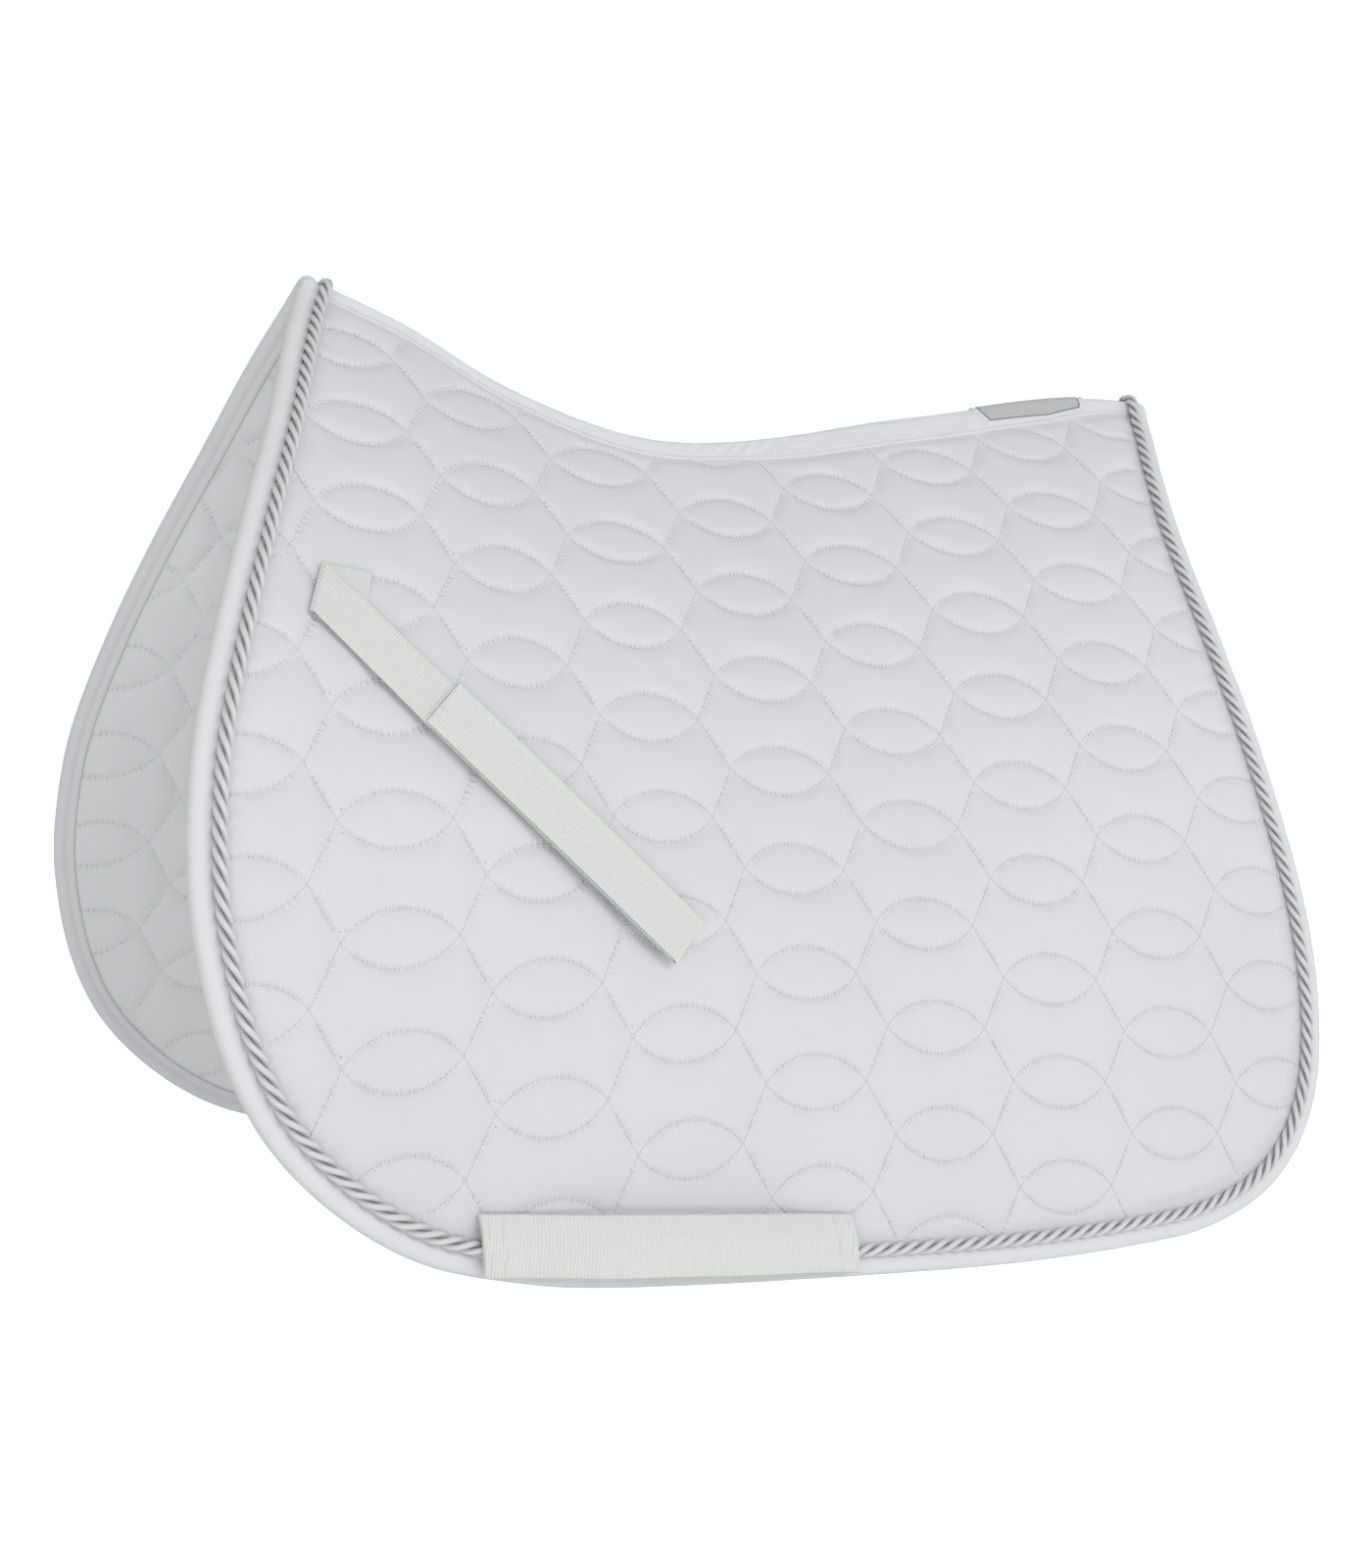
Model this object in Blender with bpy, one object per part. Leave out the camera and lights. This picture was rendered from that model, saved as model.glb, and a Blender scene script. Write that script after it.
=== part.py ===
"""Quilted saddle pad: two quilted flaps joined along a curved spine and draped as on a horse's back.

Frame: metres, +Z up, +X towards the horse's tail, the near (left) flap at -Y and the far flap at +Y.
The origin lies in the middle plane, just above the lowest point of the spine line's saddle-shaped dip.

Each flap hangs from the spine line as a slice of a wide cylinder. A place on it is given as (x, z), seen
square on from the side, and a height above the draped middle surface, positive away from the horse.
Flap pieces are worked out on the far side and mirrored for the near one.
"""

import math

import bmesh
import bpy
import numpy as np

# Drape; the spine's height is a smooth rise with swells, each a height, its place x and its reach
SPINE_RISE = (-0.023, 1.015, -0.852, -2.238)  # spine height, as powers 1 to 4 of x
SPINE_SWELLS = ((-0.0081, -0.025, 0.081), (0.0066, -0.187, 0.041), (0.0021, 0.142, 0.050))
RIDGE_ANGLE = math.radians(40.0)  # flap slope from vertical at the spine
DRAPE_RADIUS = 0.94
SPINE_FRONT = -0.2485
SPINE_REAR = 0.370

# Flap edge from the spine's front end, down, back and up to its rear end, as (x, z)
FRONT_EDGE = (
    (SPINE_FRONT, 0.0736), (-0.267, 0.034), (-0.288, -0.018), (-0.310, -0.070), (-0.332, -0.128),
    (-0.350, -0.188), (-0.357, -0.244), (-0.355, -0.288), (-0.345, -0.335), (-0.326, -0.376),
)
BOTTOM_EDGE = (
    (-0.294, -0.412), (-0.253, -0.4400), (-0.205, -0.4560), (-0.150, -0.4665), (-0.039, -0.4780),
    (0.090, -0.4865), (0.190, -0.487), (0.245, -0.482), (0.292, -0.464),
)
REAR_EDGE = (
    (0.325, -0.430), (0.343, -0.382), (0.350, -0.310), (0.346, -0.220), (0.341, -0.130),
    (0.342, -0.060), (0.352, -0.011), (0.363, 0.020), (SPINE_REAR, 0.0454),
)

FLAP_MIDDLE = (0.03, -0.22)
CURVE_STEPS = 24  # points between two given ones on the edge's curve

# Flap layers, as heights of their outer and inner faces where the quilt is full
LAYERS = {
    "shell": (0.0030, 0.0022),
    "wadding": (0.0019, -0.0041),
    "lining": (-0.0044, -0.0052),
}
# and where it is pressed flat, under the binding and the rope
PRESSED = {
    "shell": (-0.0004, -0.0012),
    "wadding": (-0.0015, -0.0037),
    "lining": (-0.0040, -0.0048),
}
PANEL_EDGE = 0.0026  # the layers stop this far inside the flap's edge
PRESSED_TO = 0.0185
FULL_FROM = 0.040
FLAP_TOP = 0.018  # drop of the flap's top edge below the spine line
TOP_PRESSED_TO = 0.023
TOP_FULL_FROM = 0.038

# Edge binding: a tape folded round the edge, as (distance in from the edge, height)
BINDING_OUTSIDE = (
    (0.0100, 0.0011), (0.0060, 0.0016), (0.0030, 0.0013), (0.0008, -0.0002), (0.0, -0.0026),
    (0.0008, -0.0050), (0.0030, -0.0066), (0.0060, -0.0070), (0.0125, -0.0065),
)
BINDING_INSIDE = (
    (0.0125, -0.0053), (0.0020, -0.0053), (0.0011, -0.0042), (0.0011, -0.0010), (0.0020, 0.0001),
    (0.0100, 0.0001),
)

ROPE_RADIUS = 0.0035
ROPE_IN = 0.0140
ROPE_HEIGHT = 0.0035
ROPE_SIDES = 8

# Spine tapes, as (drop below the spine line, height) from the middle out
TAPE_LAP = 0.0165
TAPE_SHOULDER = 0.45  # share of the lap where the tape's slope changes
TAPE_THICK = 0.0010
TAPE_CROWN_SHARE = 1.3  # thickness over the middle, for the same thickness on the slopes
TAPE_END_GAP = 0.024  # the tapes stop short of the rope at the front and rear
OUTER_TAPE = (0.0022, 0.0006, 0.0003)  # heights of the underside at the middle, shoulder and lap
INNER_TAPE = (-0.0112, -0.0062, -0.0064)
SEAM_TOP = 0.0015
SEAM_LOW = -0.0085
SEAM_OUTER = (0.0110, -0.0002)
SEAM_INNER = (0.0125, -0.0045)
SPINE_STEPS = 20
CROWN_DROPS = (0.030, 0.0165, 0.0075, 0.002)  # places on the edge near the spine, for the trims over it

# Badge over the rear of the spine
BADGE_FROM = 0.221
BADGE_TO = 0.313
BADGE_POINT = 0.012
BADGE_BASE = (0.0105, 0.0056, 0.0046)  # drop of its long edge, and heights of its outer and inner faces
BADGE_FACE = (0.0085, 0.0067, 0.0059)
BADGE_FACE_INSET = 0.004
BADGE_END_SHARE = 0.25  # width of its pointed ends, as a share of the middle's
BADGE_SHOULDER = 0.4
BADGE_CROWN = 0.0012  # extra height over the spine's middle

# Girth strap of webbing, folded over its sewn stub; its tail doubles back from the tip
WEBBING_WIDTH = 0.030
WEBBING_THICK = 0.0010
TAPE_PILE = 0.0007
FOLD_TOP = (-0.2737, -0.1012)
FOLD_BOTTOM = (-0.2845, -0.1267)
STUB_LENGTH = 0.034
STUB_HEIGHTS = (0.0041, 0.0049)
STRAP_START_HEIGHT = 0.0053
TAIL_END = (-0.2196, -0.1736)
STRAP_TIP = (-0.0923, -0.2999)
TAIL_WIDTH = 0.032
STRAP_HEIGHT = 0.0058  # of the webbing's underside over the chord between tail end and tip
LAYER_GAP = 0.0003
PILE_WIDTH = 0.026
PILE_MARGIN = 0.008

# Girth keeper: a webbing band sewn down at both ends, over the rope
KEEPER_TOP = ((-0.2245, -0.4195), (-0.0075, -0.4470))
KEEPER_DEPTH = 0.030
KEEPER_THICK = 0.0012
KEEPER_UPPER_HEIGHT = 0.0045
KEEPER_LOWER_HEIGHT = 0.0088
KEEPER_BEND = 0.36  # share of the depth above its bend over the rope
KEEPER_BOW = 0.0115
KEEPER_HEM = 0.012
KEEPER_SEWN = 0.06
HEM_THICK = 0.0008
KEEPER_FLAT = (0.30, 0.70)  # the stretch that stands off evenly, for a girth to pass behind

STITCH_WIDTH = 0.0012
STITCH_CLEARANCE = 0.0007
STITCH_THICK = 0.0005
STUB_STITCH_SHARE = 0.8  # size of the stub's box of thread, as a share of the stub
KEEPER_STITCH_IN = 0.0015
KEEPER_STITCH_BAND = (KEEPER_BEND + 0.06, 0.94)

COLOURS = {
    "cotton": (0.80, 0.81, 0.83, 1.0),
    "wadding": (0.85, 0.85, 0.84, 1.0),
    "lining": (0.78, 0.79, 0.82, 1.0),
    "webbing": (0.82, 0.82, 0.81, 1.0),
    "rope": (0.55, 0.56, 0.58, 1.0),
    "thread": (0.86, 0.87, 0.88, 1.0),
    "pile": (0.75, 0.75, 0.74, 1.0),
    "badge_rim": (0.84, 0.85, 0.86, 1.0),
    "badge_face": (0.36, 0.37, 0.39, 1.0),
}
CLOTH_ROUGHNESS = 0.85
ROPE_ROUGHNESS = 0.40
HINGE_HEIGHT = 0.031  # the flaps' hinge line runs straight through the curved spine


# ---------------------------------------------------------------- draped surface

def spine_z(x):
    swells = sum(height * math.exp(-(((x - middle) / reach) ** 2)) for height, middle, reach in SPINE_SWELLS)
    return swells + sum(k * x ** (power + 1) for power, k in enumerate(SPINE_RISE))


def spine_slope(x):
    slope = sum((power + 1) * k * x**power for power, k in enumerate(SPINE_RISE))
    for height, middle, reach in SPINE_SWELLS:
        offset = (x - middle) / reach
        slope -= 2 * height * offset / reach * math.exp(-(offset**2))
    return slope


def flap_point(x, z, height=0.0):
    """The point of the far flap at (x, z), raised by a height along the surface's outward normal."""
    sin_tilt = math.sin(RIDGE_ANGLE) - (spine_z(x) - z) / DRAPE_RADIUS
    cos_tilt = math.sqrt(1.0 - sin_tilt**2)
    base = np.array([x, DRAPE_RADIUS * (cos_tilt - math.cos(RIDGE_ANGLE)), z])
    return base + height * flap_normal(x, z)


def flap_normal(x, z):
    sin_tilt = math.sin(RIDGE_ANGLE) - (spine_z(x) - z) / DRAPE_RADIUS
    normal = np.array([-spine_slope(x) * sin_tilt, math.sqrt(1.0 - sin_tilt**2), sin_tilt])
    return normal / np.linalg.norm(normal)


def below_spine(x, drop, height=0.0):
    return flap_point(x, spine_z(x) - drop, height)


def unit(vector):
    return vector / np.linalg.norm(vector)


def mirrored(point):
    return np.array([point[0], -point[1], point[2]])


# ---------------------------------------------------------------- flap edge

def smooth_curve(points):
    """A Catmull-Rom curve through the points."""
    p = np.array([2 * np.array(points[0]) - points[1], *points, 2 * np.array(points[-1]) - points[-2]])
    curve = []
    for i in range(1, len(p) - 2):
        for t in np.arange(CURVE_STEPS) / CURVE_STEPS:
            bend = 2 * p[i - 1] - 5 * p[i] + 4 * p[i + 1] - p[i + 2]
            twist = 3 * p[i] - p[i - 1] - 3 * p[i + 1] + p[i + 2]
            curve.append(0.5 * (2 * p[i] + (p[i + 1] - p[i - 1]) * t + bend * t**2 + twist * t**3))
    curve.append(p[-2])
    return np.array(curve)


def resample(curve, fractions):
    """Points of a 2D curve at fractions of its true length on the draped surface."""
    raised = np.array([flap_point(x, z) for x, z in curve])
    length = np.concatenate([[0], np.cumsum(np.linalg.norm(np.diff(raised, axis=0), axis=1))])
    wanted = np.array(fractions) * length[-1]
    return np.stack([np.interp(wanted, length, curve[:, i]) for i in (0, 1)], axis=1)


def below_top(curve):
    """The stretch of the edge that lies below the panel's top."""
    return curve[[spine_z(x) - z >= FLAP_TOP for x, z in curve]]


SIDE_STEPS = (0.0, 0.017, 0.05, *np.linspace(0.12, 1.0, 11))
BOTTOM_STEPS = tuple(np.linspace(0.0, 1.0, 14))


def edge_parts():
    """The flap's edge as three runs of (x, z) points: down the front, along the bottom, down the rear."""
    curve = smooth_curve(FRONT_EDGE + BOTTOM_EDGE + REAR_EDGE)
    corner_a = (len(FRONT_EDGE) - 1) * CURVE_STEPS
    corner_b = (len(FRONT_EDGE) + len(BOTTOM_EDGE)) * CURVE_STEPS
    return (
        resample(below_top(curve[: corner_a + 1]), SIDE_STEPS),
        resample(curve[corner_a : corner_b + 1], BOTTOM_STEPS),
        resample(below_top(curve[corner_b:])[::-1], SIDE_STEPS),
    )


def whole_edge():
    """The edge from the panel's top down, round and up again."""
    front, bottom, rear = edge_parts()
    return np.concatenate([front, bottom[1:], rear[::-1][1:]])


def edge_frames(edge):
    """For each point of the edge: the point, the direction into the flap, and the outward normal."""
    points = np.array([flap_point(x, z) for x, z in edge])
    frames = []
    for i, (x, z) in enumerate(edge):
        along = unit(points[min(i + 1, len(edge) - 1)] - points[max(i - 1, 0)])
        normal = flap_normal(x, z)
        inward = unit(np.cross(along, normal))
        if np.dot(inward, flap_point(*FLAP_MIDDLE) - points[i]) < 0:
            inward = -inward
        frames.append((points[i], inward, normal))
    return frames


def inset(frames, distance):
    """The edge moved into the flap, as (x, z) points."""
    return np.array([(p + distance * inward)[[0, 2]] for p, inward, _ in frames])


# ---------------------------------------------------------------- meshes

def material(name):
    found = bpy.data.materials.get(name)
    if found:
        return found
    made = bpy.data.materials.new(name)
    made.use_nodes = True
    shader = made.node_tree.nodes["Principled BSDF"]
    shader.inputs["Base Color"].default_value = COLOURS[name]
    shader.inputs["Roughness"].default_value = ROPE_ROUGHNESS if name == "rope" else CLOTH_ROUGHNESS
    shader.inputs["Metallic"].default_value = 0.0
    return made


class Body:
    """An empty on a body's joint axis, which its pieces are parented to."""

    def __init__(self, name, pivot, parent=None):
        self.pivot = np.array(pivot, dtype=float)
        self.empty = bpy.data.objects.new(name + "_pivot", None)
        bpy.context.scene.collection.objects.link(self.empty)
        origin = self.pivot
        if parent:
            self.empty.parent = parent.empty
            origin = self.pivot - parent.pivot
        self.empty.location = origin

    def add(self, name, points, faces, slot):
        """A closed solid of this body; its origin is the body's pivot."""
        mesh = bpy.data.meshes.new(name)
        mesh.from_pydata([tuple(p - self.pivot) for p in points], [], faces)
        shape = bmesh.new()
        shape.from_mesh(mesh)
        bmesh.ops.recalc_face_normals(shape, faces=shape.faces)
        shape.to_mesh(mesh)
        shape.free()
        mesh.materials.append(material(slot))
        obj = bpy.data.objects.new(name, mesh)
        bpy.context.scene.collection.objects.link(obj)
        obj.parent = self.empty
        return obj


def thickened(outer, inner, quads):
    """A closed solid between two copies of a sheet of quads, split alike and walled along its border."""
    count = len(outer)
    points = [*outer, *inner]
    triangles = [t for a, b, c, d in quads for t in ((a, b, c), (a, c, d))]
    faces = triangles + [tuple(count + i for i in reversed(t)) for t in triangles]
    edges = [(q[i], q[(i + 1) % 4]) for q in quads for i in range(4)]
    border = set(edges) - {(b, a) for a, b in edges}
    faces += [(b, a, count + a, count + b) for a, b in border]
    return points, faces


def grid_quads(rows, columns):
    return [
        (r * columns + c, r * columns + c + 1, (r + 1) * columns + c + 1, (r + 1) * columns + c)
        for r in range(rows - 1)
        for c in range(columns - 1)
    ]


def slab(outer_rows, inner_rows):
    """A closed solid between two grids of points."""
    quads = grid_quads(len(outer_rows), len(outer_rows[0]))
    return thickened(sum(outer_rows, []), sum(inner_rows, []), quads)


def swept(sections):
    """A closed solid through a row of equal cross-sections, capped at both ends."""
    sides = len(sections[0])
    points = [p for section in sections for p in section]
    faces = [
        (i * sides + k, i * sides + (k + 1) % sides, (i + 1) * sides + (k + 1) % sides, (i + 1) * sides + k)
        for i in range(len(sections) - 1)
        for k in range(sides)
    ]
    faces.append(tuple(range(sides)))
    faces.append(tuple(len(points) - sides + k for k in reversed(range(sides))))
    return points, faces


def stitched_ring(corners, width, normal, thick):
    """A flat thread frame just inside four corners, in order round the frame."""
    centre = sum(corners) / len(corners)
    inside = [c + unit(centre - c) * width * math.sqrt(2) for c in corners]
    points = [*corners, *inside]
    points += [p + normal * thick for p in points]
    faces = []
    for a in range(4):
        b = (a + 1) % 4
        faces += [(a, b, b + 4, a + 4), (a + 8, a + 12, b + 12, b + 8)]
        faces += [(a, a + 8, b + 8, b), (a + 4, b + 4, b + 12, a + 12)]
    return points, faces


# ---------------------------------------------------------------- quilted flap

def ramp(value, low, high):
    return min(max((value - low) / (high - low), 0.0), 1.0)


def panel_sheet():
    """The flap's sheet of quads, as (x, z, fullness) vertices: three rims of strips and a middle patch."""
    front, bottom, _ = edge_parts()
    frames = edge_frames(whole_edge())
    rims = [inset(frames, d) for d in (PANEL_EDGE, PRESSED_TO, FULL_FROM)]
    for rim in rims:
        for end in (0, -1):
            rim[end][1] = spine_z(rim[end][0]) - FLAP_TOP
    sides = len(front)
    left = rims[-1][:sides]
    low = rims[-1][sides - 1 : sides - 1 + len(bottom)]
    right = rims[-1][::-1][:sides]
    top_x = np.linspace(left[0][0], right[0][0], len(bottom))
    top = np.array([(x, spine_z(x) - FLAP_TOP) for x in top_x])
    patch = coons_patch(left, right, top, low)

    vertices = []
    index = {}

    def vertex(x, z, fullness):
        key = (round(x, 6), round(z, 6))
        if key not in index:
            drop = spine_z(x) - z
            index[key] = len(vertices)
            vertices.append((x, z, fullness * ramp(drop, TOP_PRESSED_TO, TOP_FULL_FROM)))
        return index[key]

    quads = []
    for rim, (outer, inner) in enumerate(zip(rims, rims[1:])):
        for i in range(len(outer) - 1):
            corners = ((outer[i], rim), (inner[i], rim + 1), (inner[i + 1], rim + 1), (outer[i + 1], rim))
            quads.append(tuple(vertex(*p, 1.0 if level == 2 else 0.0) for p, level in corners))
    for j in range(len(left) - 1):
        for i in range(len(top) - 1):
            corners = (patch[j][i], patch[j][i + 1], patch[j + 1][i + 1], patch[j + 1][i])
            quads.append(tuple(vertex(*p, 1.0) for p in corners))
    return vertices, quads


def coons_patch(left, right, top, low):
    """A grid inside four border runs, rows from top to bottom."""
    rows = []
    for j, v in enumerate(SIDE_STEPS):
        row = []
        for i, u in enumerate(BOTTOM_STEPS):
            across = (1 - u) * left[j] + u * right[j]
            down = (1 - v) * top[i] + v * low[i]
            corners = (1 - u) * (1 - v) * left[0] + u * (1 - v) * right[0]
            corners = corners + (1 - u) * v * left[-1] + u * v * right[-1]
            row.append(across + down - corners)
        rows.append(row)
    for row, first, last in zip(rows, left, right):
        row[0] = first
        row[-1] = last
    return [list(top), *rows[1:-1], list(low)]


def panel_layer(sheet, layer):
    vertices, quads = sheet
    faces_at = []
    for full, pressed in zip(LAYERS[layer], PRESSED[layer]):
        heights = [pressed + (full - pressed) * fullness for _, _, fullness in vertices]
        faces_at.append([flap_point(x, z, h) for (x, z, _), h in zip(vertices, heights)])
    return thickened(faces_at[0], faces_at[1], quads)


def trim(frames, section):
    """A trim of one cross-section, given as (distance in from the edge, height), along the edge."""
    return swept([[p + inward * e + normal * h for e, h in section] for p, inward, normal in frames])


def binding_section():
    return BINDING_OUTSIDE + BINDING_INSIDE


def rope_section():
    angles = [2 * math.pi * k / ROPE_SIDES for k in range(ROPE_SIDES)]
    return [(ROPE_IN + ROPE_RADIUS * math.cos(a), ROPE_HEIGHT + ROPE_RADIUS * math.sin(a)) for a in angles]


def crown_frames(end):
    """Frames of the edge where it crosses the spine, from the far side over to the near side."""
    curve = smooth_curve(FRONT_EDGE if end == "front" else REAR_EDGE[::-1])
    drops = [spine_z(x) - z for x, z in curve]
    run = [[np.interp(drop, drops, curve[:, i]) for i in (0, 1)] for drop in CROWN_DROPS]
    far = edge_frames(np.array(run))[1:-1]
    x = SPINE_FRONT if end == "front" else SPINE_REAR
    along = unit(np.array([1.0, 0.0, spine_slope(x)]))
    normal = np.array([-along[2], 0.0, along[0]])
    top = (np.array([x, 0.0, spine_z(x)]), along if end == "front" else -along, normal)
    near = [tuple(mirrored(v) for v in frame) for frame in reversed(far)]
    return [*far, top, *near]


# ---------------------------------------------------------------- girth strap

def strap_frame():
    """The flat lower strap: its tail end, its tip, its direction, its width direction and its normal."""
    start = flap_point(*TAIL_END)
    tip = flap_point(*STRAP_TIP)
    along = unit(tip - start)
    normal = flap_normal(*((np.array(TAIL_END) + STRAP_TIP) / 2))
    normal = unit(normal - along * np.dot(normal, along))
    return start, tip, along, np.cross(normal, along), normal


def strap_webbing():
    start, tip, _, across, normal = strap_frame()
    half = across * WEBBING_WIDTH / 2
    top = flap_point(*FOLD_TOP, STRAP_START_HEIGHT)
    bottom = flap_point(*FOLD_BOTTOM, STRAP_START_HEIGHT)
    if np.dot(bottom - top, half) > 0:
        half = -half
    lower = [[top, bottom]]
    lower += [[p + normal * STRAP_HEIGHT + half, p + normal * STRAP_HEIGHT - half] for p in (start, tip)]
    fold_normal = flap_normal(*FOLD_TOP)
    rise = [fold_normal, normal, normal]
    upper = [[p + n * WEBBING_THICK for p in row] for row, n in zip(lower, rise)]
    return slab(upper, lower)


def strap_layer(level, thick, width, margin):
    """A flat layer over the lower strap, with its underside at a level over the strap's chord."""
    start, tip, along, across, normal = strap_frame()
    ends = (start + along * margin, tip - along * margin)
    lower = [[p + normal * level + across * s * width / 2 for s in (1, -1)] for p in ends]
    upper = [[p + normal * thick for p in row] for row in lower]
    return slab(upper, lower)


def strap_levels():
    """Underside levels of the loop tape, the hook tape and the tail."""
    loop = STRAP_HEIGHT + WEBBING_THICK + LAYER_GAP
    hook = loop + TAPE_PILE + LAYER_GAP
    return loop, hook, hook + TAPE_PILE + LAYER_GAP


def stub_corners(height):
    """The sewn stub's corners: the fold's top and bottom, then the sewn end's bottom and top."""
    top = flap_point(*FOLD_TOP, height)
    bottom = flap_point(*FOLD_BOTTOM, height)
    along = np.array([1.0, 0.0, 0.0])
    normal = flap_normal(*FOLD_TOP)
    along = unit(along - normal * np.dot(along, normal))
    return [top, bottom, bottom + along * STUB_LENGTH, top + along * STUB_LENGTH]


def stub():
    inner, outer = (stub_corners(h) for h in STUB_HEIGHTS)
    return slab([[outer[0], outer[3]], [outer[1], outer[2]]], [[inner[0], inner[3]], [inner[1], inner[2]]])


def stub_stitching():
    """The box of thread on the lining behind the stub."""
    inner_face = LAYERS["lining"][1] - STITCH_CLEARANCE
    normal = flap_normal(*FOLD_TOP)
    corners = stub_corners(inner_face)
    centre = sum(corners) / len(corners)
    corners = [centre + (c - centre) * STUB_STITCH_SHARE for c in corners]
    return stitched_ring(corners, STITCH_WIDTH, -normal, STITCH_THICK)


# ---------------------------------------------------------------- girth keeper

def keeper_point(along, across, height):
    """A point of the keeper: along and across from 0 to 1, with a height over its own lie."""
    (x0, z0), (x1, z1) = KEEPER_TOP
    x = x0 + (x1 - x0) * along
    z = z0 + (z1 - z0) * along - KEEPER_DEPTH * across
    over_rope = ramp(across, 0.0, KEEPER_BEND)
    lie = KEEPER_UPPER_HEIGHT + (KEEPER_LOWER_HEIGHT - KEEPER_UPPER_HEIGHT) * over_rope
    low, high = KEEPER_FLAT
    bow = ramp(along, KEEPER_SEWN, low) * ramp(1 - along, KEEPER_SEWN, 1 - high)
    return flap_point(x, z, lie + bow * KEEPER_BOW + height)


def keeper_normal(along):
    """The direction square to the keeper's lower band, at a place along it."""
    low, high = (keeper_point(along, across, 0) for across in (1, KEEPER_BEND))
    length = keeper_point(1, 1, 0) - keeper_point(0, 1, 0)
    normal = unit(np.cross(high - low, length))
    return normal if normal[1] > 0 else -normal


def keeper_webbing():
    """The band, with its lower part flat where it stands off."""
    low, high = KEEPER_FLAT
    columns = (0, KEEPER_BEND, 1)
    stops = (0.0, KEEPER_SEWN, low, high, 1 - KEEPER_SEWN, 1.0)
    rows = [[keeper_point(t, u, 0) for u in columns] for t in stops]
    start = rows[2][1]
    plane = unit(np.cross(rows[2][2] - start, rows[3][1] - start))
    plane = plane if plane[1] > 0 else -plane
    rows[3][2] = rows[3][2] - plane * np.dot(rows[3][2] - start, plane)
    normals = [keeper_normal(t) for t in stops]
    normals[2:4] = [plane, plane]
    outer = [[p + n * KEEPER_THICK for p in row] for row, n in zip(rows, normals)]
    return slab(outer, rows)


def keeper_end(end, first, last):
    """The stops along the keeper between two distances from one of its ends."""
    length = np.linalg.norm(keeper_point(1, 0, 0) - keeper_point(0, 0, 0))
    stops = (first / length, last / length)
    return stops if end == "front" else tuple(1 - t for t in reversed(stops))


def keeper_hem(end):
    """The keeper's turned-under end, against its underside."""
    columns = (0, KEEPER_BEND, 1)
    span = keeper_end(end, 0.0, KEEPER_HEM)
    outer = [[keeper_point(t, u, -LAYER_GAP) for u in columns] for t in span]
    inner = [[keeper_point(t, u, -LAYER_GAP - HEM_THICK) for u in columns] for t in span]
    return slab(outer, inner)


def keeper_stitching(end):
    """The frame of thread on the lower band of the keeper's end."""
    a, b = keeper_end(end, KEEPER_STITCH_IN, KEEPER_HEM - KEEPER_STITCH_IN)
    lift = KEEPER_THICK + LAYER_GAP
    upper, low = KEEPER_STITCH_BAND
    corners = [keeper_point(t, u, lift) for t, u in ((a, upper), (b, upper), (b, low), (a, low))]
    return stitched_ring(corners, STITCH_WIDTH, keeper_normal(a), STITCH_THICK)


# ---------------------------------------------------------------- spine

def above_spine(x, height):
    return np.array([x, 0.0, spine_z(x) + height])


def both_sides(half):
    return [mirrored(p) for p in reversed(half[1:])] + half


def spine_stations():
    return np.linspace(SPINE_FRONT + TAPE_END_GAP, SPINE_REAR - TAPE_END_GAP, SPINE_STEPS)


def spine_tape(heights):
    """A tape bent over the spine line, from the heights of its underside."""
    layers = []
    for thick in (TAPE_THICK, 0.0):
        rows = []
        for x in spine_stations():
            middle, shoulder, lap = (h + thick for h in heights)
            half = [
                above_spine(x, middle + thick * (TAPE_CROWN_SHARE - 1)),
                below_spine(x, TAPE_LAP * TAPE_SHOULDER, shoulder),
                below_spine(x, TAPE_LAP, lap),
            ]
            rows.append(both_sides(half))
        layers.append(rows)
    return slab(*layers)


def spine_seam():
    """The panels' joined edges, between the two tapes."""
    sections = []
    for x in spine_stations():
        outer = below_spine(x, *SEAM_OUTER)
        inner = below_spine(x, *SEAM_INNER)
        top = above_spine(x, SEAM_TOP)
        low = above_spine(x, SEAM_LOW)
        sections.append([top, outer, inner, low, mirrored(inner), mirrored(outer)])
    return swept(sections)


def badge_layer(drop, high, low, shrink):
    """A long six-sided plate with pointed ends, bent over the spine."""
    start = BADGE_FROM + shrink
    end = BADGE_TO - shrink
    stations = (start, start + BADGE_POINT, (start + end) / 2, end - BADGE_POINT, end)
    widths = (BADGE_END_SHARE, 1.0, 1.0, 1.0, BADGE_END_SHARE)
    grids = []
    for height in (high, low):
        rows = []
        for x, share in zip(stations, widths):
            edge = drop * share
            half = [above_spine(x, height + BADGE_CROWN)]
            half += [below_spine(x, reach, height) for reach in (edge * BADGE_SHOULDER, edge)]
            rows.append(both_sides(half))
        grids.append(rows)
    return slab(*grids)


# ---------------------------------------------------------------- assembly

def placed(piece, side):
    """A far-side solid as it is, or mirrored for the near side."""
    points, faces = piece
    if side == "near":
        return [mirrored(p) for p in points], [tuple(reversed(f)) for f in faces]
    return points, faces


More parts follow.
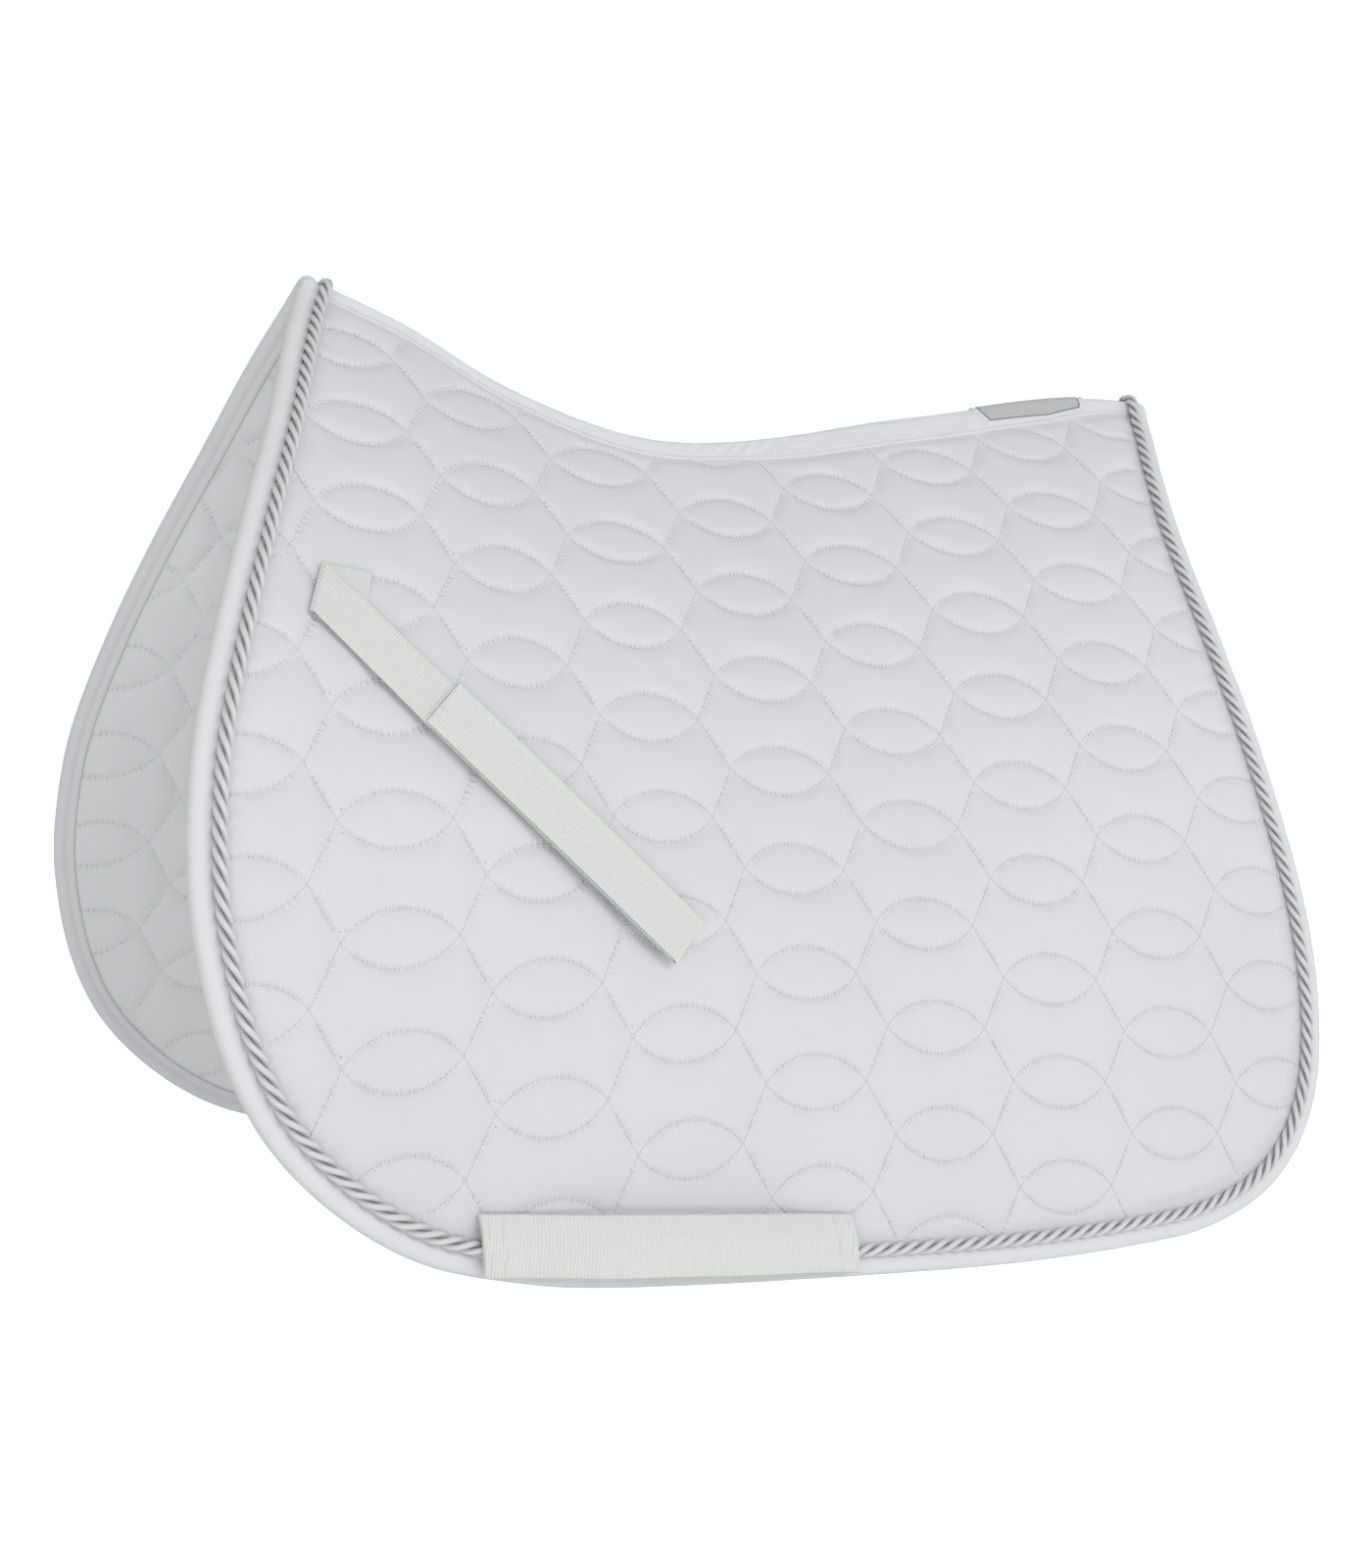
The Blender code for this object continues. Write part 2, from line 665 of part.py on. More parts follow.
def build_flap(side, spine, sheet):
    def pivot_of(point):
        return mirrored(point) if side == "near" else point

    flap = Body(side + "_flap", (0.0, 0.0, HINGE_HEIGHT), spine)
    for layer, slot in (("shell", "cotton"), ("wadding", "wadding"), ("lining", "lining")):
        flap.add(side + "_" + layer, *placed(panel_layer(sheet, layer), side), slot)
    frames = edge_frames(whole_edge())
    flap.add(side + "_edge_binding", *placed(trim(frames, binding_section()), side), "cotton")
    flap.add(side + "_rope_trim", *placed(trim(frames, rope_section()), side), "rope")
    flap.add(side + "_strap_stub", *placed(stub(), side), "webbing")
    flap.add(side + "_stub_stitching", *placed(stub_stitching(), side), "thread")
    flap.add(side + "_girth_keeper", *placed(keeper_webbing(), side), "webbing")
    for end in ("front", "rear"):
        flap.add(side + "_keeper_" + end + "_hem", *placed(keeper_hem(end), side), "webbing")
        flap.add(side + "_keeper_" + end + "_stitching", *placed(keeper_stitching(end), side), "thread")

    fold = (flap_point(*FOLD_TOP, STUB_HEIGHTS[1]) + flap_point(*FOLD_BOTTOM, STUB_HEIGHTS[1])) / 2
    strap = Body(side + "_strap", pivot_of(fold), flap)
    loop_level, hook_level, tail_level = strap_levels()
    strap.add(side + "_strap_webbing", *placed(strap_webbing(), side), "webbing")
    loop = strap_layer(loop_level, TAPE_PILE, PILE_WIDTH, PILE_MARGIN)
    strap.add(side + "_strap_loop_tape", *placed(loop, side), "pile")

    _, tip, _, _, normal = strap_frame()
    tail = Body(side + "_tail", pivot_of(tip + normal * (hook_level - LAYER_GAP / 2)), strap)
    hook = strap_layer(hook_level, TAPE_PILE, PILE_WIDTH, PILE_MARGIN)
    tail.add(side + "_tail_hook_tape", *placed(hook, side), "pile")
    cover = strap_layer(tail_level, WEBBING_THICK, TAIL_WIDTH, 0.0)
    tail.add(side + "_strap_tail", *placed(cover, side), "webbing")


def build():
    for obj in list(bpy.data.objects):
        bpy.data.objects.remove(obj, do_unlink=True)
    spine = Body("spine", (0.0, 0.0, 0.0))
    spine.add("spine_tape_outer", *spine_tape(OUTER_TAPE), "cotton")
    spine.add("spine_seam_edges", *spine_seam(), "wadding")
    spine.add("spine_tape_inner", *spine_tape(INNER_TAPE), "cotton")
    for end in ("front", "rear"):
        frames = crown_frames(end)
        spine.add("spine_" + end + "_binding", *trim(frames, binding_section()), "cotton")
        spine.add("spine_" + end + "_rope", *trim(frames, rope_section()), "rope")
    spine.add("badge_base", *badge_layer(*BADGE_BASE, 0.0), "badge_rim")
    spine.add("badge_face", *badge_layer(*BADGE_FACE, BADGE_FACE_INSET), "badge_face")
    sheet = panel_sheet()
    for side in ("near", "far"):
        build_flap(side, spine, sheet)
    bpy.context.view_layer.update()


build()
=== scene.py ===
"""Looks of the quilted saddle pad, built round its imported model.

Frame: metres, +Z up, +X towards the horse's tail, the near flap at -Y and the far flap at +Y.
Places on the cloth are (x, q): x along the spine line and q down the cloth from it. A height is positive
away from the horse. Pieces of a flap are worked out on the far side and mirrored for the near one.
The drape, the outline and the strap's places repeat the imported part's driving dimensions.
"""

import math

import bpy
import numpy as np
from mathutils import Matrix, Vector
from mathutils.kdtree import KDTree


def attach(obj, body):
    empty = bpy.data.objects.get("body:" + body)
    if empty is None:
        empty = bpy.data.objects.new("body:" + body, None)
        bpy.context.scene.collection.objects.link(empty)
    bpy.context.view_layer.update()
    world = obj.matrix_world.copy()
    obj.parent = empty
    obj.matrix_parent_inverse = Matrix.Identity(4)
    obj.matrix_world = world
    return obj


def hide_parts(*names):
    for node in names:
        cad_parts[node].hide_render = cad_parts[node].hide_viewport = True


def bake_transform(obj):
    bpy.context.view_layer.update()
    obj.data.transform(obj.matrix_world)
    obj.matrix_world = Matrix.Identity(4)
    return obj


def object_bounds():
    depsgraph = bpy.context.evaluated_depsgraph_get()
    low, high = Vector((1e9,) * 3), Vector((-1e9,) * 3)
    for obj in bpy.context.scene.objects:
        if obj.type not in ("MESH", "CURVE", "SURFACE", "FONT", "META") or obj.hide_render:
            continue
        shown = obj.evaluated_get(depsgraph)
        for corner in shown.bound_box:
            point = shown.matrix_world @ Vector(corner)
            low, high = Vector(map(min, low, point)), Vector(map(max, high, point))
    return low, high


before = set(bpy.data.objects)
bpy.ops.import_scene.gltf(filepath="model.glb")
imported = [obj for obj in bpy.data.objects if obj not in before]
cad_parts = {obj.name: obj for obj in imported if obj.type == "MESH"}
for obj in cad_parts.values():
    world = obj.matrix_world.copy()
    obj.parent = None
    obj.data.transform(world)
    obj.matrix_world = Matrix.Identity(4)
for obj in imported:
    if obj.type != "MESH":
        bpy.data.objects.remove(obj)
cad_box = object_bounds()

MM = 0.001

# Drape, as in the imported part
SPINE_RISE = np.poly1d([-2.238, -0.852, 1.015, -0.023, 0.0])
SPINE_SWELLS = ((-0.0081, -0.025, 0.081), (0.0066, -0.187, 0.041), (0.0021, 0.142, 0.050))
RIDGE_ANGLE = math.radians(40.0)
DRAPE_RADIUS = 0.94
SPINE_FRONT = -0.2485
SPINE_REAR = 0.370
OUTLINE = (
    (SPINE_FRONT, 0.0736), (-0.267, 0.034), (-0.288, -0.018), (-0.310, -0.070), (-0.332, -0.128),
    (-0.350, -0.188), (-0.357, -0.244), (-0.355, -0.288), (-0.345, -0.335), (-0.326, -0.376),
    (-0.294, -0.412), (-0.253, -0.4400), (-0.205, -0.4560), (-0.150, -0.4665), (-0.039, -0.4780),
    (0.090, -0.4865), (0.190, -0.487), (0.245, -0.482), (0.292, -0.464),
    (0.325, -0.430), (0.343, -0.382), (0.350, -0.310), (0.346, -0.220), (0.341, -0.130),
    (0.342, -0.060), (0.352, -0.011), (0.363, 0.020), (SPINE_REAR, 0.0454),
)
EDGE_STEP = 2.0 * MM
CREST_SPAN = 5.0 * MM  # how widely the trims round over the ridge
CREST_LIFT = 3.4 * MM
CREST_LIFT_SPAN = 14.0 * MM

# Quilting: rows of pointed lenses joined by slants, on a lattice turned slightly against the spine
COLUMN_PITCH = 80.4 * MM
ROW_PITCH = 59.8 * MM
LENS_WIDTH = 64.1 * MM
LENS_RISE = 15.0 * MM
LATTICE_TURN = math.radians(3.486)
LATTICE_P0 = -232.7 * MM
LATTICE_Q0 = 278.5 * MM
SPINE_SHARE = 1.1576
STITCH_PITCH = 3.5 * MM
STITCH_LENGTH = 1.9 * MM
STITCH_WIDTH = 1.15 * MM
STITCH_HEIGHT = 0.95 * MM
COLUMNS = range(-2, 9)
ROWS = range(-8, 9)

# How far the pattern is drawn aside near the spine: (along, down) at the dip, the front and everywhere
ASIDE_REACH = 0.12
ASIDE_DIP = (-0.01, 0.09, 11.7 * MM, 0.3 * MM)
ASIDE_FRONT = (-0.24, 0.10, 1.6 * MM, 8.5 * MM)
ASIDE = (-3.4 * MM, -2.0 * MM)

# Quilt faces: the puff is higher near the spine, and pressed down under the strap
SHELL_CELL = 1.92 * MM
LINING_CELL = 2.3 * MM
PUFF_TOP = 6.2 * MM
PUFF_LOW = 4.1 * MM
PUFF_REACH = 1.9 * MM
CRISP = 0.24  # the share of the puff that rises steeply beside each stitch line
SWELL_SCALE = 9.0e-4
SWELL_ROUNDS = 260
SHELL_SEAT = 0.3 * MM
LINING_SEAT = -2.0 * MM
LINING_LOW = -4.9 * MM
LINING_DEPTH = 1.35
PRESS = 0.24
PRESS_REACH = (14.0 * MM, 34.0 * MM)
PANEL_FROM = 6.0 * MM
SHELL_FREE = (16.5 * MM, 29.0 * MM)  # over this way in from the edge the puff starts
LINING_FREE = (12.5 * MM, 24.0 * MM)
GATHER_IN = 21.5 * MM
GATHER_REACH = 5.0 * MM
SHELL_TOP = 3.0 * MM
LINING_TOP = 6.0 * MM
PUCKER_REACH = 3.0 * MM  # how far the puckers run out from a stitch line
CALM_GAP = 4.0 * MM  # the distance that the puckers and the painted shade along the stitch lines take a lens's tips to have
TIP_CALM = (4.0 * MM, 8.5 * MM)

# Rope trim: strands laid round each other
ROPE_IN = 14.0 * MM
ROPE_HEIGHT = 3.5 * MM
STRAND_ORBIT = 2.04 * MM
STRAND_RADIUS = 1.76 * MM
ROPE_LEAD = 29.0 * MM
STRANDS = 3
STRAND_SIDES = 10

# Spine tape and badge, as (x, distance down the cloth)
SEAM_PITCH = 3.1 * MM
CREST_ARC = 3.4 * MM
TAPE_LAP = (
    (-0.26, 0.0066), (-0.20, 0.0068), (-0.115, 0.0075), (-0.07, 0.0092), (-0.03, 0.0097), (0.03, 0.0105),
    (0.078, 0.0150), (0.13, 0.0166), (0.21, 0.0172), (0.29, 0.0166), (0.3125, 0.0130), (0.341, 0.0088),
    (0.38, 0.0080),
)
TAPE_CREST = 3.9 * MM
TAPE_HEIGHT = 1.7 * MM
TAPE_END_IN = 11.5 * MM
EDGE_LEAN_FRONT = 0.31
EDGE_LEAN_REAR = 0.23
TAPE_SEAM_IN = 2.4 * MM
TAPE_GROOVE = 0.35 * MM
TAPE_THINNING = 0.60 * MM
TAPE_CRUMPLE = 0.55 * MM  # where the tape is pressed together in the spine's dip
TAPE_WAVE = 0.30 * MM
TAPE_FINE_WAVE = 0.10 * MM
INNER_TAPE_HEIGHT = -6.2 * MM
INNER_TAPE_LAP = 21.0 * MM
BADGE_RIM = ((0.2195, 0.0), (0.2275, 0.0124), (0.279, 0.0138), (0.3130, 0.0086), (0.3145, 0.0))
BADGE_EDGING = ((0.2232, 0.0), (0.2300, 0.0106), (0.279, 0.0120), (0.3088, 0.0070), (0.3102, 0.0))
BADGE_FACE = ((0.2241, 0.0), (0.2307, 0.0098), (0.279, 0.0112), (0.3076, 0.0064), (0.3091, 0.0))
BADGE_RIDGE = 0.45 * MM
BOX_STITCH_HEIGHT = -9.25 * MM

# Webbing and straps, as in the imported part
WEBBING_WIDTH = 30.0 * MM
WEBBING_THICK = 1.0 * MM
FOLD_TOP = (-0.2737, -0.1012)
FOLD_BOTTOM = (-0.2845, -0.1267)
FOLD_MIDDLE = (-0.2791, -0.1140)
STUB_TOP_LENGTH = 28.5 * MM
STUB_LOW_LENGTH = 31.0 * MM
STUB_HEIGHT = 4.1 * MM
STUB_THICK = 0.8 * MM
FOLD_HEIGHT = 4.9 * MM
FOLD_RADIUS = 1.35 * MM
FOLD_SIDES = 20
STRAP_START_HEIGHT = 5.3 * MM
TAIL_END = (-0.2196, -0.1736)
STRAP_TIP = (-0.0923, -0.2999)
TAIL_WIDTH = 32.0 * MM
TAIL_SMOOTH = 4.6 * MM  # width of the flat band along the tail's side
STRAP_HEIGHT = 5.8 * MM
LOOP_LEVEL = 7.1 * MM
HOOK_LEVEL = 8.1 * MM
TAIL_LEVEL = 9.1 * MM
TIP_LEVEL = 7.95 * MM
PILE_THICK = 0.7 * MM
PILE_WIDTH = 26.0 * MM
PILE_MARGIN = 8.0 * MM
RIB_PITCH = 1.8 * MM
RIB_DEPTH = 0.24 * MM
RIM = 0.5 * MM
SELVEDGE = 1.0 * MM
GRID = 1.3 * MM  # spacing of the points across a band
LOOPS_OUT = 0.30 * MM  # how far the ribs turn out at a band's sides
SMOOTH_RISE = 0.22 * MM
FOLD_RISE = 0.15 * MM
HEM_STEP = 0.75 * MM
SEAM_GROOVE = 0.50 * MM
UNEVENNESS = 0.05 * MM
BAND_STITCH = (1.9 * MM, 0.7 * MM)

KEEPER_TOP = ((-0.2245, -0.4195), (-0.0075, -0.4470))
KEEPER_DEPTH = 30.0 * MM
KEEPER_THICK = 1.2 * MM
KEEPER_UPPER_HEIGHT = 4.5 * MM
KEEPER_LOWER_HEIGHT = 8.8 * MM
KEEPER_BEND = 0.36
KEEPER_BOW = 11.5 * MM
KEEPER_SEWN = 0.06
KEEPER_HEM = 12.0 * MM
FOLD_BAND = 5.5 * MM
KEEPER_SEAMS = (3.6 * MM, 10.6 * MM)
KEEPER_FLAT = (0.30, 0.70)

# Camera and studio
CAMERA_LENS = 43.34
CAMERA_TURN = (math.radians(-27.14), math.radians(1.83))
CAMERA_DISTANCE = 1.2039
CAMERA_TARGET = (0, 0, -0.2198)
LIGHT_TARGET = (0.0, 0.0, -0.25)
FLOOR_REACH = 14.0

SIDES = {"near": np.array([1.0, -1.0, 1.0]), "far": np.array([1.0, 1.0, 1.0])}


# ---- Draped surface

def unit(vectors):
    return vectors / np.linalg.norm(vectors, axis=-1, keepdims=True)


def bell(value, middle, reach):
    """A smooth bump, 1 at its middle and near 0 past twice its reach."""
    return np.exp(-(((value - middle) / reach) ** 2))


def spine(x):
    return SPINE_RISE(x) + sum(rise * bell(x, middle, reach) for rise, middle, reach in SPINE_SWELLS)


def spine_slope(x):
    slope = SPINE_RISE.deriv()(x)
    for rise, middle, reach in SPINE_SWELLS:
        slope = slope - 2 * rise * (x - middle) / reach / reach * bell(x, middle, reach)
    return slope


def drape(x, q, height=0.0):
    """Points of the far flap and the outward normals there."""
    x, q, height = np.broadcast_arrays(*(np.asarray(v, float) for v in (x, q, height)))
    tilt = RIDGE_ANGLE - q / DRAPE_RADIUS
    sin, cos = np.sin(tilt), np.cos(tilt)
    y = DRAPE_RADIUS * (cos - math.cos(RIDGE_ANGLE))
    z = spine(x) - DRAPE_RADIUS * (math.sin(RIDGE_ANGLE) - sin)
    normals = unit(np.stack([-spine_slope(x) * sin, cos, sin], axis=-1))
    return np.stack([x, y, z], axis=-1) + height[..., None] * normals, normals


def over_crest(x, down, height):
    """Points over the rounded ridge: down runs from -CREST_ARC in the middle plane, then down the cloth."""
    x, down, height = np.broadcast_arrays(*(np.asarray(v, float) for v in (x, down, height)))
    lean = np.clip(-down / CREST_ARC, 0.0, 1.0) * (math.pi / 2 - RIDGE_ANGLE)
    base, _ = drape(x, np.maximum(down, 0.0))
    tilt = RIDGE_ANGLE - np.maximum(down, 0.0) / DRAPE_RADIUS + lean
    sin, cos = np.sin(tilt), np.cos(tilt)
    return base + height[..., None] * unit(np.stack([-spine_slope(x) * sin, cos, sin], axis=-1))


def cloth_place(x, z):
    """The x, q of a place given by its x and z."""
    sin = math.sin(RIDGE_ANGLE) - (spine(x) - z) / DRAPE_RADIUS
    return x, DRAPE_RADIUS * (RIDGE_ANGLE - np.arcsin(sin))


def smooth_curve(points, steps=24):
    """A Catmull-Rom curve through the points."""
    points = np.asarray(points, float)
    p = np.concatenate([[2 * points[0] - points[1]], points, [2 * points[-1] - points[-2]]])
    t = (np.arange(steps) / steps)[:, None]
    runs = []
    for a, b, c, d in zip(p, p[1:], p[2:], p[3:]):
        bend = 2 * a - 5 * b + 4 * c - d
        twist = 3 * b - a - 3 * c + d
        runs.append(0.5 * (2 * b + (c - a) * t + bend * t**2 + twist * t**3))
    return np.concatenate([*runs, points[-1:]])


def evenly(points, step):
    """The polyline resampled at even steps, its ends kept."""
    reach = np.concatenate([[0], np.cumsum(np.linalg.norm(np.diff(points, axis=0), axis=1))])
    wanted = np.linspace(0, reach[-1], max(2, round(reach[-1] / step) + 1))
    return np.stack([np.interp(wanted, reach, points[:, i]) for i in range(points.shape[1])], axis=1)


def smoothstep(value, low, high):
    t = np.clip((value - low) / (high - low), 0.0, 1.0)
    return t * t * (3 - 2 * t)


def waves(u, v, length, seed):
    """Smooth irregular waves, mostly from -1 to 1, of about one length."""
    draw = np.random.default_rng(seed)
    total = np.zeros(np.broadcast(u, v).shape)
    count = 8
    for _ in range(count):
        turn, phase = draw.uniform(0, 2 * math.pi, 2)
        rate = 2 * math.pi / (length * draw.uniform(0.7, 1.5))
        total += np.sin(rate * (u * math.cos(turn) + v * math.sin(turn)) + phase)
    return total / math.sqrt(count)


# ---- Flap edge

class Edge:
    """The flap's edge from the ridge's front end, down, round and up to its rear end."""

    def __init__(self, rounded):
        outline = smooth_curve(OUTLINE)
        x, q = cloth_place(outline[:, 0], outline[:, 1])
        line = evenly(np.stack([*drape(x, q)[0].T, q], axis=1), EDGE_STEP)
        q = line[:, 3]
        base, normal = drape(line[:, 0], q)
        base[0, 1] = base[-1, 1] = 0.0
        if rounded:
            base, normal = (self.rounded(v) for v in (base, normal))
        pad = self.padded(base, 1)
        along = unit(pad[2:] - pad[:-2])
        normal = unit(normal - along * np.sum(normal * along, axis=1)[:, None])
        self.along = along
        self.normal = normal
        self.inward = np.cross(along, normal)
        self.run = np.concatenate([[0], np.cumsum(np.linalg.norm(np.diff(base, axis=0), axis=1))])
        self.length = self.run[-1]
        if rounded:
            ends = np.minimum(self.run, self.length - self.run)
            base = base + normal * (CREST_LIFT * bell(ends, 0, CREST_LIFT_SPAN))[:, None]
        self.base = base
        self.tree = KDTree(len(base))
        for i, place in enumerate(base):
            self.tree.insert(place, i)
        self.tree.balance()

    @staticmethod
    def padded(values, count):
        """The run carried on, mirrored, past both of its ends."""
        flip = SIDES["near"]
        before, after = values[1 : count + 1][::-1], values[-count - 1 : -1][::-1]
        return np.concatenate([before * flip, values, after * flip])

    def rounded(self, values):
        count = 12
        pad = self.padded(values, count)
        offsets = np.arange(-count, count + 1)
        kernel = np.exp(-0.5 * (offsets * EDGE_STEP / CREST_SPAN) ** 2)
        kernel /= kernel.sum()
        soft = np.stack([np.convolve(pad[:, i], kernel, "valid") for i in range(3)], axis=1)
        steps = np.arange(len(values))
        near_end = np.minimum(steps, len(values) - 1 - steps) * EDGE_STEP
        share = (1 - smoothstep(near_end, 2 * CREST_SPAN, 5 * CREST_SPAN))[:, None]
        return soft * share + values * (1 - share)

    def line(self, inward, height):
        """The edge's line, moved into the flap and raised."""
        inward, height = (np.broadcast_to(v, self.run.shape)[:, None] for v in (inward, height))
        return self.base + self.inward * inward + self.normal * height

    def inside(self, places):
        """How far in from the edge places lie, and the edge's nearest point to each."""
        closest = np.array([self.tree.find(v)[1] for v in places.reshape(-1, 3)]).reshape(places.shape[:-1])
        return np.sum((places - self.base[closest]) * self.inward[closest], axis=-1), closest


# ---- Meshes

def piece(name, side, finish, points, faces, uv=None, facts=None):
    """A named mesh with one finish, mirrored for the near side; uv and facts are given for each vertex."""
    points = np.asarray(points) * SIDES[side]
    faces = [tuple(f) for f in (faces.tolist() if isinstance(faces, np.ndarray) else faces)]
    if side == "near":
        faces = [f[::-1] for f in faces]
    mesh = bpy.data.meshes.new(name)
    mesh.from_pydata(points.tolist(), [], faces)
    mesh.materials.append(finish)
    mesh.shade_smooth()
    if uv is not None:
        corners = np.zeros(len(mesh.loops), int)
        mesh.loops.foreach_get("vertex_index", corners)
        layer = mesh.uv_layers.new(name="cloth")
        layer.data.foreach_set("uv", np.asarray(uv, np.float32)[corners].ravel())
    for fact, values in (facts or {}).items():
        attribute = mesh.attributes.new(fact, "FLOAT", "POINT")
        attribute.data.foreach_set("value", np.asarray(values, np.float32))
    obj = bpy.data.objects.new(name, mesh)
    bpy.context.scene.collection.objects.link(obj)
    return obj


def grid_faces(rows, columns, start=0, closed=False):
    """Quads between rows of points; closed joins each row's last point to its first."""
    r, c = np.meshgrid(np.arange(rows - 1), np.arange(columns if closed else columns - 1), indexing="ij")
    after = (c + 1) % columns
    above, below = r * columns, (r + 1) * columns
    return np.stack([above + c, below + c, below + after, above + after], -1).reshape(-1, 4) + start


def tube_faces(rows, columns, start=0):
    """The faces of a tube of closed rings of points, with a cap on each end."""
    last = start + (rows - 1) * columns
    faces = [tuple(f) for f in grid_faces(rows, columns, start, closed=True).tolist()]
    return faces + [tuple(range(start, start + columns)), tuple(reversed(range(last, last + columns)))]


# ---- Quilt

def from_lattice(p, r):
    """Places on the cloth; near the spine the quilting is drawn a little aside."""
    x, q = turned(p, r)
    near_spine = np.exp(-np.clip(q, 0, None) / ASIDE_REACH)
    along, down = ASIDE
    for middle, reach, most_along, most_down in (ASIDE_DIP, ASIDE_FRONT):
        share = bell(x, middle, reach)
        along, down = along + most_along * share, down + most_down * share
    return turned(p + along * near_spine, r + down * near_spine)


def turned(p, r):
    """The lattice turned against the spine, its rows bent to follow it."""
    sin, cos = math.sin(LATTICE_TURN), math.cos(LATTICE_TURN)
    x = p * cos - r * sin
    return x, p * sin + r * cos + SPINE_SHARE * spine(x)


HALF_LENS = LENS_WIDTH / 2
ARC_RADIUS = (HALF_LENS**2 + LENS_RISE**2) / (2 * LENS_RISE)
ARC_CENTRE = ARC_RADIUS - LENS_RISE
SLANT = np.array([COLUMN_PITCH - LENS_WIDTH, ROW_PITCH / 2])


def nearest_on_arc(a, b, way):
    """The nearest point of a lens's upper (way -1) or lower (way 1) arc, and its distance along the arc."""
    turn = np.arctan2(a, way * b + ARC_CENTRE)
    limit = math.asin(HALF_LENS / ARC_RADIUS)
    turn = np.clip(turn, -limit, limit)
    return ARC_RADIUS * np.sin(turn), way * (ARC_RADIUS * np.cos(turn) - ARC_CENTRE), ARC_RADIUS * turn


def nearest_on_slant(a, b, way):
    """The nearest point of the slant that leaves a lens's right tip, up (way -1) or down (way 1)."""
    length = np.linalg.norm(SLANT)
    share = np.clip(((a - HALF_LENS) * SLANT[0] + b * way * SLANT[1]) / length**2, 0, 1)
    return HALF_LENS + share * SLANT[0], way * share * SLANT[1], share * length


def stitch_field(p, r):
    """For lattice places: the way to the nearest stitch line, its length, and how far along that line."""
    gap = np.full(p.shape, 1.0)
    to_p, to_r, run = (np.zeros(p.shape) for _ in range(3))
    for column_step in (-1, 0, 1):
        column = np.round((p - LATTICE_P0) / COLUMN_PITCH) + column_step
        shift = 0.5 * (column % 2)
        for row_step in (-1, 0, 1):
            row = np.round((r - LATTICE_Q0) / ROW_PITCH - shift) + shift + row_step
            a = p - LATTICE_P0 - column * COLUMN_PITCH
            b = r - LATTICE_Q0 - row * ROW_PITCH
            for nearest in (nearest_on_arc, nearest_on_slant):
                for way in (-1, 1):
                    at_a, at_b, along = nearest(a, b, way)
                    distance = np.hypot(at_a - a, at_b - b)
                    closer = distance < gap
                    gap = np.where(closer, distance, gap)
                    to_p = np.where(closer, at_a - a, to_p)
                    to_r = np.where(closer, at_b - b, to_r)
                    run = np.where(closer, along, run)
    return to_p, to_r, gap, run


def averaged(height):
    """Each height as the mean of its four neighbours; the rim stays."""
    around = height.copy()
    columns, rows = height[:, 1:-1], height[1:-1]
    around[1:-1, 1:-1] = (columns[2:] + columns[:-2] + rows[:, 2:] + rows[:, :-2]) / 4
    return around


def settle(height, fixed, rounds):
    """Evens out the heights between the stitched places, which stay where they are."""
    for _ in range(rounds):
        height = np.where(fixed, height, 0.4 * height + 0.6 * averaged(height))
    return height


def inflate(fixed, cell):
    """Heights from 0 to about 1 of a skin blown up between its fixed places."""
    height = np.zeros(fixed.shape)
    for _ in range(SWELL_ROUNDS):
        height = np.where(fixed, 0.0, averaged(height) + cell**2)
    return 1 - np.exp(-height / SWELL_SCALE)


def from_tips(p, r):
    """How far a lattice point lies from the nearest tip of a lens."""
    nearest = np.full(p.shape, 1.0)
    for column in COLUMNS:
        shift = 0.5 * (column % 2)
        row = np.round((r - LATTICE_Q0) / ROW_PITCH - shift)
        down = r - LATTICE_Q0 - (row + shift) * ROW_PITCH
        for way in (-1, 1):
            along = p - LATTICE_P0 - column * COLUMN_PITCH - way * HALF_LENS
            nearest = np.minimum(nearest, np.hypot(along, down))
    return nearest


def from_strap(x, q):
    """How far a place on the cloth lies from the line under the strap."""
    start, end = (np.array(cloth_place(*v)) for v in (FOLD_MIDDLE, STRAP_TIP))
    way = end - start
    x, q = x - start[0], q - start[1]
    share = np.clip((x * way[0] + q * way[1]) / np.sum(way**2), 0, 1)
    return np.hypot(x - share * way[0], q - share * way[1])


def in_box(x, z):
    """How far inside the strap's box stitching a place lies; less than 0 outside it."""
    from_fold = x - np.interp(z, (FOLD_BOTTOM[1], FOLD_TOP[1]), (FOLD_BOTTOM[0], FOLD_TOP[0]))
    across = np.minimum(FOLD_TOP[1] - z, z - FOLD_BOTTOM[1])
    return np.minimum(np.minimum(from_fold, STUB_TOP_LENGTH - from_fold), across)


